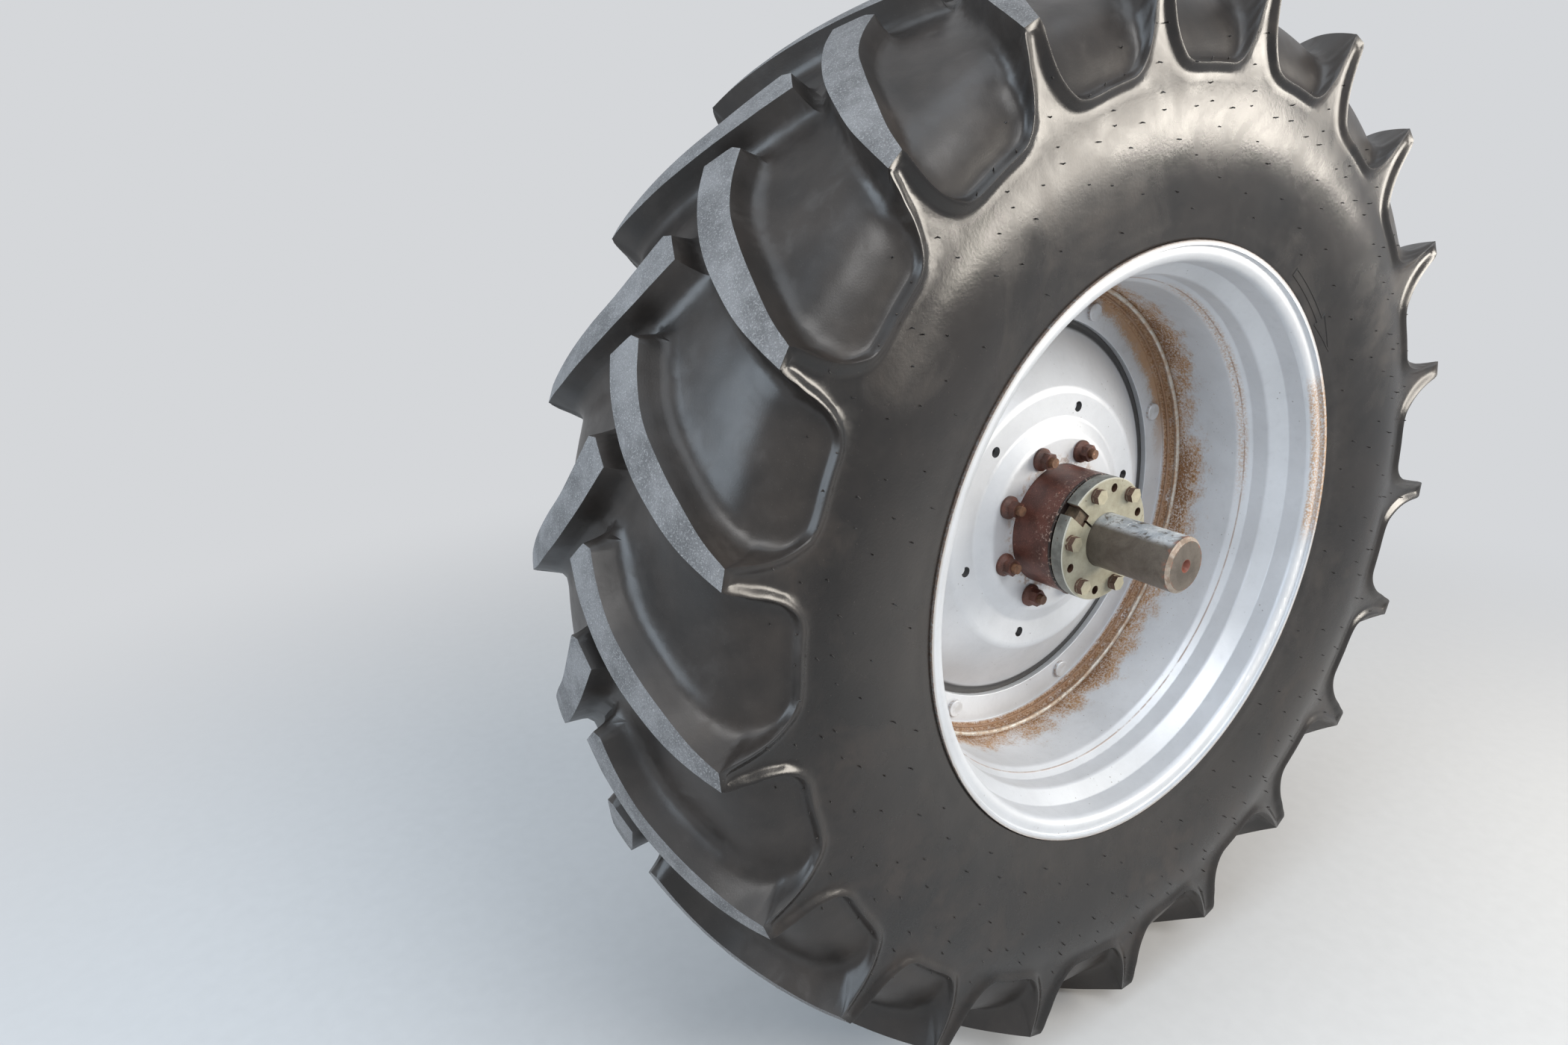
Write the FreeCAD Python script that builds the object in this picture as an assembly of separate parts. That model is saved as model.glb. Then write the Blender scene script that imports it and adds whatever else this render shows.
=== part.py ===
import FreeCAD, Part
import math
import os

# Rear wheel of a farm tractor on its bar axle, with the axle housing that carries it.
# Millimetres, +Z up, +X forward, +Y towards the middle of the tractor.
# The origin is the centre of the housing's inner flange; the wheel turns about the Y axis.
# Wheel pieces are drawn about the wheel's own centre plane, outboard negative, then moved out.

# Where the wheel's centre plane lies
WHEEL_OUT = 635.0

# Clearances
SEAT_GAP = 0.3
HOLE_GAP = 0.8
RUN_GAP = 0.3

# Rim: its seat, flanges and well
BEAD_SEAT_R = 482.6
FLANGE_HEIGHT = 25.4
FLANGE_GAP_HALF = 228.6
RIM_SHEET = 7.0
LIP_WIDTH = 10.0
SEAT_INNER_Y = 188.0
SEAT_TAPER = 4.0
LEDGE_DROP = 25.1
LEDGE_OUTER_Y = 160.0
LEDGE_INNER_Y = 128.0
WELL_DROP = 40.3
WELL_Y = 104.0
FLANGE_BEND = 12.0
LIP_BEND = 7.0
WELL_BEND = 9.0
FLANGE_R = BEAD_SEAT_R + FLANGE_HEIGHT
LEDGE_R = BEAD_SEAT_R - LEDGE_DROP
WELL_R = BEAD_SEAT_R - WELL_DROP

# Tyre: height from the bead seat to the tread, and the round-over of the tread from side to side
SECTION_HEIGHT = 445.4
CROWN_ARC_R = 736.0
SIDE_Y = 264.0
CASING_WALL = 18.0
BEAD_TOE_Y = 192.0
BEAD_HEEL = 9.0
BEAD_TOP_RISE = 37.0
CROWN_R = BEAD_SEAT_R + SECTION_HEIGHT
# Side wall between the lugs and the bead: share of that height, distance from the centre plane
WALL = ((0.70, SIDE_Y), (0.27, 254.0))
# Inside of the casing: depth below the crown, distance from the centre plane
LINING = ((106.0, 194.0), (74.0, 70.0))

# Lugs: the inboard row starts half a pitch from the outboard row
LUGS = 21
LUG_ANGLE = 170.4
# One lug along its length. Top: distance from the centre plane and turn of its leading edge,
# then of its trailing edge. Foot: the same four, and its depth below the crown.
LUG = ((6.0, -0.1, -30.0, 1.85, 13.0, -1.1, -40.0, 2.1, 46.0),
       (26.0, 0.0, 4.0, 4.85, 33.0, -1.0, -3.0, 5.8, 47.0),
       (70.0, 4.3, 62.0, 8.9, 76.0, 3.2, 57.0, 9.9, 51.0),
       (134.0, 8.35, 134.0, 12.1, 136.0, 7.1, 132.0, 13.3, 60.0),
       (200.0, 11.6, 200.0, 14.6, 200.0, 10.1, 200.0, 16.1, 80.0),
       (262.0, 14.6, 262.0, 15.6, 246.0, 12.6, 246.0, 17.8, 140.0))
# Fin under the lug's tip: depth below the crown, leading and trailing turn of its edge and foot
FIN_DEPTH = 128.0
FIN_EDGE = (14.2, 17.1)
FIN_FOOT_DEPTH = 165.0
FIN_FOOT_Y = 252.0
FIN_FOOT = (12.2, 18.8)
# Inner edge of the pockets: depth, and turns of its corners from one fin to the next pocket
POCKET_DEPTH = 176.0
POCKET = (10.7, 15.3, 19.9, 23.9)

# Mounting ring welded into the rim, with its bolts at a distance from its inner edge
RING_FACE_Y = 52.0
RING_THICK = 12.0
RING_WIDTH = 71.5
RING_BOLT_EDGE = 26.5
RING_BOLTS = 8
RING_EDGE_BEND = 1.0
WELD_LEG_RADIAL = 19.0
WELD_LEG_AXIAL = 30.0
WELD_TOE = 4.0
WELD_TOE_BEND = 2.0
WELD_BEND = 4.0
RING_OUTER_R = WELL_R - RIM_SHEET - SEAT_GAP
RING_INNER_R = RING_OUTER_R - RING_WIDTH
RING_BOLT_R = RING_INNER_R + RING_BOLT_EDGE

# Pressed disc, dished inside the ring and flat behind it
DISC_SHEET = 12.0
DISC_BORE_R = 110.8
HUB_FLAT_Y = -25.0
HUB_FLAT_R = 160.0
HOLE_BAND_Y = -9.0
HOLE_BAND_INNER_R = 190.0
HOLE_BAND_OUTER_R = 240.0
DISC_DISH_GAP = 11.5
DISC_EDGE_GAP = 19.0
DISC_BEND = 18.0
DISC_HOLE_R = 9.5
DISC_HOLE_CIRCLE_R = 212.7
DISC_HOLES = 6
DISC_HOLE_ANGLE = 13.9
DISC_RIM_R = RING_INNER_R - DISC_DISH_GAP
DISC_OUTER_R = RING_OUTER_R - DISC_EDGE_GAP

# Hub casting
HUB_BARREL_R = 110.0
HUB_FRONT_Y = -107.0
HUB_FLANGE_MARGIN = 17.5
HUB_FLANGE_THICK = 26.0
HUB_EDGE_BEND = 3.0
HUB_NECK_BEND = 8.0
HUB_BACK_R = 104.0
HUB_BACK_Y = 62.0
TAPER_FRONT_R = 79.0
TAPER_BACK_R = 63.0
STUD_CIRCLE_R = 137.5
STUDS = 8
STUD_ANGLE = 21.3
STUD_R = 9.0
STUD_END_Y = -58.0
STUD_HEAD_R = 16.5
STUD_HEAD_THICK = 8.0
HUB_FLANGE_R = STUD_CIRCLE_R + HUB_FLANGE_MARGIN

# Wedge sleeve in two halves
SLEEVE_FLANGE_R = 110.0
SLEEVE_FACE_Y = -135.0
SLEEVE_FLANGE_THICK = 24.0
SLEEVE_EDGE = 3.0
SLEEVE_BACK_Y = 50.0
SPLIT_ANGLE = 141.3
SPLIT_GAP = 4.0
KEY_WIDTH = 22.0
KEY_INNER_R = 70.0
KEY_OUTER_R = 94.0
KEY_FRONT_Y = -131.0
WEDGE_BOLT_R = 92.0
WEDGE_BOLTS = 6
WEDGE_BOLT_ANGLE = 51.3
WEDGE_THREAD_R = 8.0
WEDGE_THREAD_DEPTH = 34.0
WEDGE_SCREW_DEPTH = 30.0
SHARP_BEND = 1.0
JACK_ANGLES = (21.3, 81.3, 201.3, 261.3)

# Bar axle
SHAFT_R = 48.0
SHAFT_END_Y = -296.0
SHAFT_CHAMFER = 6.0
CENTRE_MOUTH_R = 11.0
CENTRE_HOLE_R = 4.0
CENTRE_CONE_DEPTH = 12.0
CENTRE_HOLE_DEPTH = 24.0
SHAFT_INNER_GAP = 12.0
SPLINE_LENGTH = 70.0
SPLINE_TEETH = 24
SPLINE_DEPTH = 3.5
# Outline of one spline tooth: share of its pitch, depth below the bar's surface
SPLINE = ((0.0, SPLINE_DEPTH), (0.5, SPLINE_DEPTH), (0.6, 0.0), (0.9, 0.0))

# Axle housing
FLANGE_OUTER_R = 195.0
FLANGE_THICK = 26.0
FLANGE_WIDTH = 45.0
FLANGE_BOLT_EDGE = 23.0
FLANGE_BOLTS = 12
FLANGE_HOLE_R = 9.0
FLANGE_HOLE_ANGLE = 15.0
FLANGE_FILLET = 12.0
CASTING_BEND = 4.0
TRUMPET_SMALL_R = 98.0
TRUMPET_WALL = 16.0
TRUMPET_STRAIGHT_Y = -330.0
TRUMPET_BEND = 60.0
TRUMPET_LARGE_R = FLANGE_OUTER_R - FLANGE_WIDTH
FLANGE_BOLT_R = FLANGE_OUTER_R - FLANGE_BOLT_EDGE
HOUSING_END_Y = -420.0
END_BOSS_R = 116.0
END_BOSS_LENGTH = 55.0
BEARING_OUTER_R = 80.0
BEARING_WIDTH = 36.0
INNER_BEARING_Y = -80.0
CAP_THICK = 18.0
CAP_R = 116.0
CAP_LIP_R = 66.0
CAP_LIP_LENGTH = 14.0
CAP_BOLT_R = 99.0
CAP_BOLTS = 8
CAP_BOLT_ANGLE = 22.5
CAP_THREAD_DEPTH = 30.0
CAP_SCREW_DEPTH = 26.0

# Screws: shank radius, across flats, head height, washer radius, washer thickness
WEDGE_SCREW = (7.7, 24.0, 10.0, 13.8, 4.0)
CAP_SCREW = (4.4, 16.0, 7.0, 9.0, 1.5)
CAP_THREAD_R = 4.7
NUT_ACROSS = 27.0
NUT_HEX_HEIGHT = 13.0
NUT_CONE_HEIGHT = 11.0
NUT_BASE_R = 20.5
NUT_BASE_RIM = 5.0

# Ring bolts, with flat round heads
RING_SHANK_R = 9.0
RING_HEAD_R = 17.0
RING_HEAD_HEIGHT = 7.0
RING_HEAD_BEND = 2.5
RING_NUT_ACROSS = 30.0
RING_NUT_HEIGHT = 16.0
RING_SHANK_SPARE = 24.0

# Tyre valve
VALVE_ANGLE = 160.0
VALVE_Y = -50.0
VALVE_LENGTH = 34.0
VALVE_STEM_R = 5.0
VALVE_FOOT_R = 13.0
VALVE_FOOT_THICK = 5.0
VALVE_CAP_R = 7.0
VALVE_CAP_LENGTH = 14.0

# Cuts run past the faces they open by this much
PAST = 1.0

FULL = 360.0
SAME = 1e-6
STRAIGHT = 89.9
LEAST_BEND = 0.5
CENTRE = FreeCAD.Vector(0, 0, 0)
SPIN = FreeCAD.Vector(0, 1, 0)


def point(r, y):
    return FreeCAD.Vector(r, y, 0)


def polar(r, y, turn):
    angle = math.radians(turn)
    return FreeCAD.Vector(r * math.cos(angle), y, r * math.sin(angle))


def rounded(rows):
    # Edges along rows of (radius, y, bend), each inner corner rounded by its bend radius
    edges = []
    start = point(*rows[0][:2])
    for before, here, after in zip(rows, rows[1:], rows[2:]):
        corner = point(*here[:2])
        back = (point(*before[:2]) - corner).normalize()
        ahead = (point(*after[:2]) - corner).normalize()
        half = math.acos(max(-1.0, min(1.0, back.dot(ahead)))) / 2
        if here[2] <= 0 or half > math.radians(STRAIGHT):
            edges.append(Part.LineSegment(start, corner).toShape())
            start = corner
            continue
        reach = here[2] / math.tan(half)
        first = corner + back * reach
        last = corner + ahead * reach
        inward = (back + ahead).normalize()
        middle = corner + inward * (here[2] / math.sin(half) - here[2])
        if (first - start).Length > SAME:
            edges.append(Part.LineSegment(start, first).toShape())
        edges.append(Part.Arc(first, middle, last).toShape())
        start = last
    edges.append(Part.LineSegment(start, point(*rows[-1][:2])).toShape())
    return edges


def beside(rows, gap):
    # The same line moved to its left by gap, its bends changed to match
    moved = []
    for i, row in enumerate(rows):
        here = point(*row[:2])
        into = (here - point(*rows[i - 1][:2])).normalize() if i else None
        out = (point(*rows[i + 1][:2]) - here).normalize() if i + 1 < len(rows) else None
        into = into or out
        out = out or into
        left = (FreeCAD.Vector(-into.y, into.x, 0) + FreeCAD.Vector(-out.y, out.x, 0)).normalize()
        stretch = left.dot(FreeCAD.Vector(-into.y, into.x, 0))
        turn = into.cross(out).z
        bend = row[2] - gap * ((turn > 0) - (turn < 0))
        place = here + left * (gap / stretch)
        moved.append((place.x, place.y, max(bend, LEAST_BEND) if row[2] > 0 else 0))
    return moved


def turned(edges):
    face = Part.Face(Part.Wire(edges))
    return face.revolve(CENTRE, SPIN, FULL)


def facets(faces):
    # A closed solid from flat pieces, each given by its corners in order
    shell = Part.Shell([Part.Face(Part.makePolygon(list(face) + [face[0]])) for face in faces])
    body = Part.Solid(shell)
    return body if body.Volume > 0 else body.reversed()


def closed(rows):
    # A ring whose section is the closed outline through the rows
    mid = ((rows[0][0] + rows[-1][0]) / 2, (rows[0][1] + rows[-1][1]) / 2, 0)
    return turned(rounded([mid] + list(rows) + [mid]))


def sheet(rows, thick):
    # A ring of sheet metal whose section follows the rows at half the thickness each side
    left = beside(rows, thick / 2)
    right = beside(rows, -thick / 2)[::-1]
    one = rounded(left)
    two = rounded(right)
    ends = [Part.LineSegment(point(*left[-1][:2]), point(*right[0][:2])).toShape(),
            Part.LineSegment(point(*right[-1][:2]), point(*left[0][:2])).toShape()]
    return turned(one + [ends[0]] + two + [ends[1]])


def mirrored(rows):
    # The rows from the outboard edge to the middle, and back to the inboard edge
    return list(rows) + [(r, -y, bend) for r, y, bend in reversed(rows)]


def tube(r, y0, y1, inner=0.0):
    low = min(y0, y1)
    body = Part.makeCylinder(r, abs(y1 - y0), FreeCAD.Vector(0, low, 0), SPIN)
    if inner > 0:
        body = body.cut(Part.makeCylinder(inner, abs(y1 - y0), FreeCAD.Vector(0, low, 0), SPIN))
    return body


def spun(shape, angle):
    # Turned about the wheel's axis from +X towards +Z
    copy = shape.copy()
    copy.rotate(CENTRE, FreeCAD.Vector(0, -1, 0), angle)
    return copy


def around(shape, radius, count, first=0.0):
    placed = shape.copy()
    placed.translate(FreeCAD.Vector(radius, 0, 0))
    return [spun(placed, first + FULL * i / count) for i in range(count)]


def hexagon(across, y0, y1):
    corners = [polar(across / math.sqrt(3), y0, FULL / 6 * i) for i in range(7)]
    return Part.Face(Part.makePolygon(corners)).extrude(FreeCAD.Vector(0, y1 - y0, 0))


def screw(size, face_y, tip_y):
    # A hexagon screw with its washer, head outboard of the face
    thread, across, head, washer, washer_thick = size
    parts = [tube(washer, face_y - washer_thick, face_y),
             hexagon(across, face_y - washer_thick - head, face_y - washer_thick),
             tube(thread, face_y - washer_thick, tip_y)]
    return parts[0].fuse(parts[1:]).removeSplitter()


def nut(across, y0, y1, hole):
    return hexagon(across, y0, y1).cut(tube(hole, y0, y1))


def holes(radius, circle, count, first, y0, y1):
    return around(tube(radius, y0, y1), circle, count, first)


def crown(y):
    return CROWN_R - CROWN_ARC_R + math.sqrt(CROWN_ARC_R ** 2 - y ** 2)


def ring(r, y, turns):
    # Corners all the way round whose flats touch the circle, the first one again at the end
    turns = list(turns) + [turns[0] + FULL]
    reach = 1 / math.cos(math.radians(FULL / (len(turns) - 1) / 2))
    return [(turn, polar(r * reach, y, turn)) for turn in turns]


def band(one, two):
    # Flat pieces between two rings of corners
    pieces = []
    i = j = 0
    while i + 1 < len(one) or j + 1 < len(two):
        next_one = one[i + 1][0] if i + 1 < len(one) else math.inf
        next_two = two[j + 1][0] if j + 1 < len(two) else math.inf
        level = abs(next_one - next_two) < SAME and abs(one[i][0] - two[j][0]) < SAME
        if level:
            pieces.append((one[i][1], one[i + 1][1], two[j + 1][1], two[j][1]))
            i, j = i + 1, j + 1
        elif next_one < next_two:
            pieces.append((one[i][1], one[i + 1][1], two[j][1]))
            i += 1
        else:
            pieces.append((one[i][1], two[j + 1][1], two[j][1]))
            j += 1
    return pieces


def fan(*corners):
    return [(corners[0], b, c) for b, c in zip(corners[1:], corners[2:])]


def lug_rows(side, turn):
    # Corners of one lug from its nose out: leading foot, leading edge, trailing edge, trailing foot
    rows = []
    for lead_u, lead, trail_u, trail, foot_u, foot, heel_u, heel, depth in LUG:
        low = CROWN_R - depth
        rows.append((polar(low, side * foot_u, turn + foot),
                     polar(crown(lead_u), side * lead_u, turn + lead),
                     polar(crown(trail_u), side * trail_u, turn + trail),
                     polar(low, side * heel_u, turn + heel)))
    edge = [polar(CROWN_R - FIN_DEPTH, side * SIDE_Y, turn + t) for t in FIN_EDGE]
    foot = [polar(CROWN_R - FIN_FOOT_DEPTH, side * FIN_FOOT_Y, turn + t) for t in FIN_FOOT]
    rows.append((foot[0], edge[0], edge[1], foot[1]))
    rows.append([polar(CROWN_R - POCKET_DEPTH, side * SIDE_Y, turn + t) for t in POCKET])
    return rows


def lug_faces(rows, across, following):
    # One lug and the floor behind it, up to the lug across the centre and the following one
    faces = fan(*rows[0])
    for here, out in zip(rows[:-1], rows[1:-1]):
        for i in range(3):
            faces += fan(here[i], here[i + 1], out[i + 1], out[i])
    for i in range(2, len(rows) - 2):
        faces += fan(rows[i][3], following[i][0], following[i + 1][0], rows[i + 1][3])
    # Floor at the centre, between the noses of both sides
    faces += fan(rows[0][3], rows[1][3], across[0][0], across[1][0])
    faces += fan(rows[1][3], rows[2][3], across[0][3], across[0][0])
    faces += fan(across[0][3], rows[2][3], following[2][0], following[1][0])
    # Fin and pocket down to the side wall
    fin, edge = rows[-2:]
    faces += fan(fin[0], fin[1], edge[0])
    faces += fan(edge[1], edge[0], fin[1], fin[2], edge[2])
    faces += fan(fin[2], fin[3], edge[2])
    faces += fan(edge[3], edge[2], fin[3], following[-2][0], following[-1][0])
    return faces


def tyre_rings(side, start):
    # Rings of corners from the pockets' inner edge down the wall, round the bead and back up inside
    pitch = FULL / LUGS
    edge_r = CROWN_R - POCKET_DEPTH
    edge = [(start + pitch * i + t, polar(edge_r, side * SIDE_Y, start + pitch * i + t))
            for i in range(LUGS) for t in POCKET]
    edge.append((edge[0][0] + FULL, edge[0][1]))
    flange_y = FLANGE_GAP_HALF - SEAT_GAP
    flange_r = FLANGE_R + SEAT_GAP
    seat_r = BEAD_SEAT_R + SEAT_GAP
    foot_r = FLANGE_R + BEAD_TOP_RISE
    wall = [(foot_r + share * (edge_r - foot_r), y) for share, y in WALL]
    wall += [(foot_r, flange_y + LIP_WIDTH), (flange_r, flange_y + LIP_WIDTH)]
    inside = [(flange_r, flange_y), (seat_r + BEAD_HEEL, flange_y), (seat_r, flange_y - BEAD_HEEL),
              (seat_r, BEAD_TOE_Y), (wall[0][0], SIDE_Y - CASING_WALL)]
    inside += [(CROWN_R - depth, y) for depth, y in LINING]
    turns = [start + POCKET[0] + pitch / len(POCKET) * i for i in range(len(POCKET) * LUGS)]
    rings = [edge] + [ring(r, side * y, turns) for r, y in wall]
    return rings + [ring(r, side * y, turns[::2]) for r, y in inside]


def tyre():
    pitch = FULL / LUGS
    starts = [LUG_ANGLE + pitch * i for i in range(LUGS)]
    out = [lug_rows(-1, start) for start in starts]
    into = [lug_rows(1, start + pitch / 2) for start in starts]
    faces = []
    for i in range(LUGS):
        after = (i + 1) % LUGS
        faces += lug_faces(out[i], into[i], out[after])
        faces += lug_faces(into[i], out[after], into[after])
    outboard = tyre_rings(-1, LUG_ANGLE)
    inboard = tyre_rings(1, LUG_ANGLE + pitch / 2)
    for rings in (outboard, inboard):
        for one, two in zip(rings, rings[1:]):
            faces += band(one, two)
    # Across the middle of the lining the outboard ring is taken one corner later
    last = outboard[-1]
    faces += band(inboard[-1], last[1:] + [(last[1][0] + FULL, last[1][1])])
    return facets(faces)


def rim_rows():
    half = RIM_SHEET / 2
    flange_y = FLANGE_GAP_HALF + half
    return [(FLANGE_R - half, -(flange_y + LIP_WIDTH), 0),
            (FLANGE_R - half, -flange_y, LIP_BEND),
            (BEAD_SEAT_R - half, -flange_y, FLANGE_BEND),
            (BEAD_SEAT_R - half - SEAT_TAPER, -SEAT_INNER_Y, WELL_BEND),
            (LEDGE_R - half, -LEDGE_OUTER_Y, WELL_BEND),
            (LEDGE_R - half, -LEDGE_INNER_Y, WELL_BEND),
            (WELL_R - half, -WELL_Y, WELL_BEND)]


def rim():
    return sheet(mirrored(rim_rows()), RIM_SHEET)


def mounting_ring():
    # A flat ring with its weld to the rim drawn as a fillet on the outboard side
    back = RING_FACE_Y + RING_THICK
    edge = RING_OUTER_R
    toe_y = RING_FACE_Y - WELD_LEG_AXIAL
    plate = closed([(RING_INNER_R, RING_FACE_Y, RING_EDGE_BEND), (RING_INNER_R, back, RING_EDGE_BEND),
                    (edge, back, 0), (edge, toe_y, 0), (edge - WELD_TOE, toe_y, WELD_TOE_BEND),
                    (edge - WELD_LEG_RADIAL / 2, RING_FACE_Y - WELD_LEG_AXIAL / 2, WELD_BEND),
                    (edge - WELD_LEG_RADIAL, RING_FACE_Y - WELD_TOE, WELD_TOE_BEND),
                    (edge - WELD_LEG_RADIAL, RING_FACE_Y, 0)])
    bore = RING_SHANK_R + HOLE_GAP
    return plate.cut(holes(bore, RING_BOLT_R, RING_BOLTS, STUD_ANGLE, RING_FACE_Y - PAST, back + PAST))


def disc():
    half = DISC_SHEET / 2
    rows = [(DISC_BORE_R, HUB_FLAT_Y + half, 0),
            (HUB_FLAT_R, HUB_FLAT_Y + half, DISC_BEND),
            (HOLE_BAND_INNER_R, HOLE_BAND_Y + half, DISC_BEND),
            (HOLE_BAND_OUTER_R, HOLE_BAND_Y + half, DISC_BEND),
            (DISC_RIM_R, RING_FACE_Y + RING_THICK + half, DISC_BEND),
            (DISC_OUTER_R, RING_FACE_Y + RING_THICK + half, 0)]
    back = RING_FACE_Y + RING_THICK
    # Hole radius, circle radius, count, first turn and the face that each row of holes starts from
    rows_of_holes = ((RING_SHANK_R + HOLE_GAP, RING_BOLT_R, RING_BOLTS, STUD_ANGLE, back),
                     (DISC_HOLE_R, DISC_HOLE_CIRCLE_R, DISC_HOLES, DISC_HOLE_ANGLE, HOLE_BAND_Y),
                     (STUD_R + HOLE_GAP, STUD_CIRCLE_R, STUDS, STUD_ANGLE, HUB_FLAT_Y))
    cuts = []
    for radius, circle, count, first, face in rows_of_holes:
        cuts += holes(radius, circle, count, first, face - PAST, face + DISC_SHEET + PAST)
    return sheet(rows, DISC_SHEET).cut(cuts)


def taper(y, gap=0.0):
    share = (y - HUB_FRONT_Y) / (HUB_BACK_Y - HUB_FRONT_Y)
    return TAPER_FRONT_R + (TAPER_BACK_R - TAPER_FRONT_R) * share - gap


def hub():
    seat = HUB_FLAT_Y + DISC_SHEET
    back = seat + HUB_FLANGE_THICK
    body = closed([(taper(HUB_FRONT_Y), HUB_FRONT_Y, SHARP_BEND), (HUB_BARREL_R, HUB_FRONT_Y, HUB_EDGE_BEND),
                   (HUB_BARREL_R, seat, 0), (HUB_FLANGE_R, seat, HUB_EDGE_BEND),
                   (HUB_FLANGE_R, back, HUB_EDGE_BEND), (HUB_BACK_R, back, HUB_NECK_BEND),
                   (HUB_BACK_R, HUB_BACK_Y, HUB_EDGE_BEND), (taper(HUB_BACK_Y), HUB_BACK_Y, SHARP_BEND)])
    studs = holes(STUD_R, STUD_CIRCLE_R, STUDS, STUD_ANGLE, seat - PAST, back + PAST)
    threads = holes(WEDGE_THREAD_R, WEDGE_BOLT_R, WEDGE_BOLTS, WEDGE_BOLT_ANGLE,
                    HUB_FRONT_Y - PAST, HUB_FRONT_Y + WEDGE_THREAD_DEPTH)
    return body.cut(studs + threads + [key_block(SEAT_GAP)])


def key_block(gap=0.0):
    # The key in the upper split, seated in the hub's front and standing out between the halves
    depth = HUB_FRONT_Y + SLEEVE_FLANGE_THICK
    corner = FreeCAD.Vector(KEY_INNER_R - gap, KEY_FRONT_Y, -KEY_WIDTH / 2 - gap)
    block = Part.makeBox(KEY_OUTER_R - KEY_INNER_R + 2 * gap, depth - KEY_FRONT_Y + gap,
                         KEY_WIDTH + 2 * gap, corner)
    return spun(block, SPLIT_ANGLE)


def sleeve_halves():
    # A flanged wedge, split across by a saw cut, with a notch for the key at one split
    back = SLEEVE_FACE_Y + SLEEVE_FLANGE_THICK
    bore = SHAFT_R + SEAT_GAP
    whole = closed([(bore, SLEEVE_FACE_Y, SHARP_BEND), (SLEEVE_FLANGE_R, SLEEVE_FACE_Y, SLEEVE_EDGE),
                    (SLEEVE_FLANGE_R, back, SHARP_BEND), (taper(back, SEAT_GAP), back, 0),
                    (taper(SLEEVE_BACK_Y, SEAT_GAP), SLEEVE_BACK_Y, SHARP_BEND),
                    (bore, SLEEVE_BACK_Y, SHARP_BEND)])
    front = SLEEVE_FACE_Y - PAST
    cuts = holes(WEDGE_THREAD_R + HOLE_GAP, WEDGE_BOLT_R, WEDGE_BOLTS, WEDGE_BOLT_ANGLE, front, back + PAST)
    for angle in JACK_ANGLES:
        cuts += holes(WEDGE_THREAD_R, WEDGE_BOLT_R, 1, angle, front, back + PAST)
    reach = 2 * SLEEVE_FLANGE_R
    cut = Part.makeBox(2 * reach, 2 * reach, SPLIT_GAP, FreeCAD.Vector(-reach, -reach, -SPLIT_GAP / 2))
    deep = HUB_FRONT_Y + SLEEVE_FLANGE_THICK - front + SEAT_GAP
    notch = Part.makeBox(reach, deep, KEY_WIDTH + 2 * SEAT_GAP,
                         FreeCAD.Vector(KEY_INNER_R - SEAT_GAP, front, -KEY_WIDTH / 2 - SEAT_GAP))
    pieces = whole.cut(cuts + [spun(cut, SPLIT_ANGLE), spun(notch, SPLIT_ANGLE)]).Solids
    up = polar(1, 0, SPLIT_ANGLE + FULL / 4)
    return sorted(pieces, key=lambda half: half.CenterOfMass.dot(up))


def wheel_nuts():
    # Cone nuts: a round foot that narrows to the hexagon
    hole = STUD_R + SEAT_GAP
    top = HUB_FLAT_Y - NUT_CONE_HEIGHT
    cone = closed([(hole, HUB_FLAT_Y, 0), (NUT_BASE_R, HUB_FLAT_Y, 0),
                   (NUT_BASE_R, HUB_FLAT_Y - NUT_BASE_RIM, 0), (NUT_ACROSS / 2, top, 0), (hole, top, 0)])
    one = cone.fuse(nut(NUT_ACROSS, top - NUT_HEX_HEIGHT, top, hole)).removeSplitter()
    return Part.makeCompound(around(one, STUD_CIRCLE_R, STUDS, STUD_ANGLE))


def wheel_studs():
    back = HUB_FLAT_Y + DISC_SHEET + HUB_FLANGE_THICK
    stud = tube(STUD_R - SEAT_GAP, STUD_END_Y, back)
    head = tube(STUD_HEAD_R, back, back + STUD_HEAD_THICK)
    return Part.makeCompound(around(stud.fuse(head).removeSplitter(), STUD_CIRCLE_R, STUDS, STUD_ANGLE))


def ring_screws():
    top = RING_FACE_Y - RING_HEAD_HEIGHT
    tip = RING_FACE_Y + RING_THICK + DISC_SHEET + RING_SHANK_SPARE
    one = closed([(0, top, 0), (RING_HEAD_R, top, RING_HEAD_BEND), (RING_HEAD_R, RING_FACE_Y, 0),
                  (RING_SHANK_R, RING_FACE_Y, 0), (RING_SHANK_R, tip, SHARP_BEND), (0, tip, 0)])
    return Part.makeCompound(around(one, RING_BOLT_R, RING_BOLTS, STUD_ANGLE))


def ring_nuts():
    face = RING_FACE_Y + RING_THICK + DISC_SHEET
    one = nut(RING_NUT_ACROSS, face, face + RING_NUT_HEIGHT, RING_SHANK_R + SEAT_GAP)
    return Part.makeCompound(around(one, RING_BOLT_R, RING_BOLTS, STUD_ANGLE))


def sleeve_screws():
    one = screw(WEDGE_SCREW, SLEEVE_FACE_Y, HUB_FRONT_Y + WEDGE_SCREW_DEPTH)
    return Part.makeCompound(around(one, WEDGE_BOLT_R, WEDGE_BOLTS, WEDGE_BOLT_ANGLE))


def valve():
    # A straight stem standing inwards from the well's floor on a round foot
    floor = WELL_R - RIM_SHEET - SEAT_GAP
    # Radius, length and distance above the floor of the foot, the stem and the cap
    sizes = ((VALVE_FOOT_R, VALVE_FOOT_THICK, 0), (VALVE_STEM_R, VALVE_LENGTH, 0),
             (VALVE_CAP_R, VALVE_CAP_LENGTH, VALVE_LENGTH))
    parts = [Part.makeCylinder(r, length, FreeCAD.Vector(floor - above, VALVE_Y, 0), FreeCAD.Vector(-1, 0, 0))
             for r, length, above in sizes]
    return spun(parts[0].fuse(parts[1:]).removeSplitter(), VALVE_ANGLE)


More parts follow.
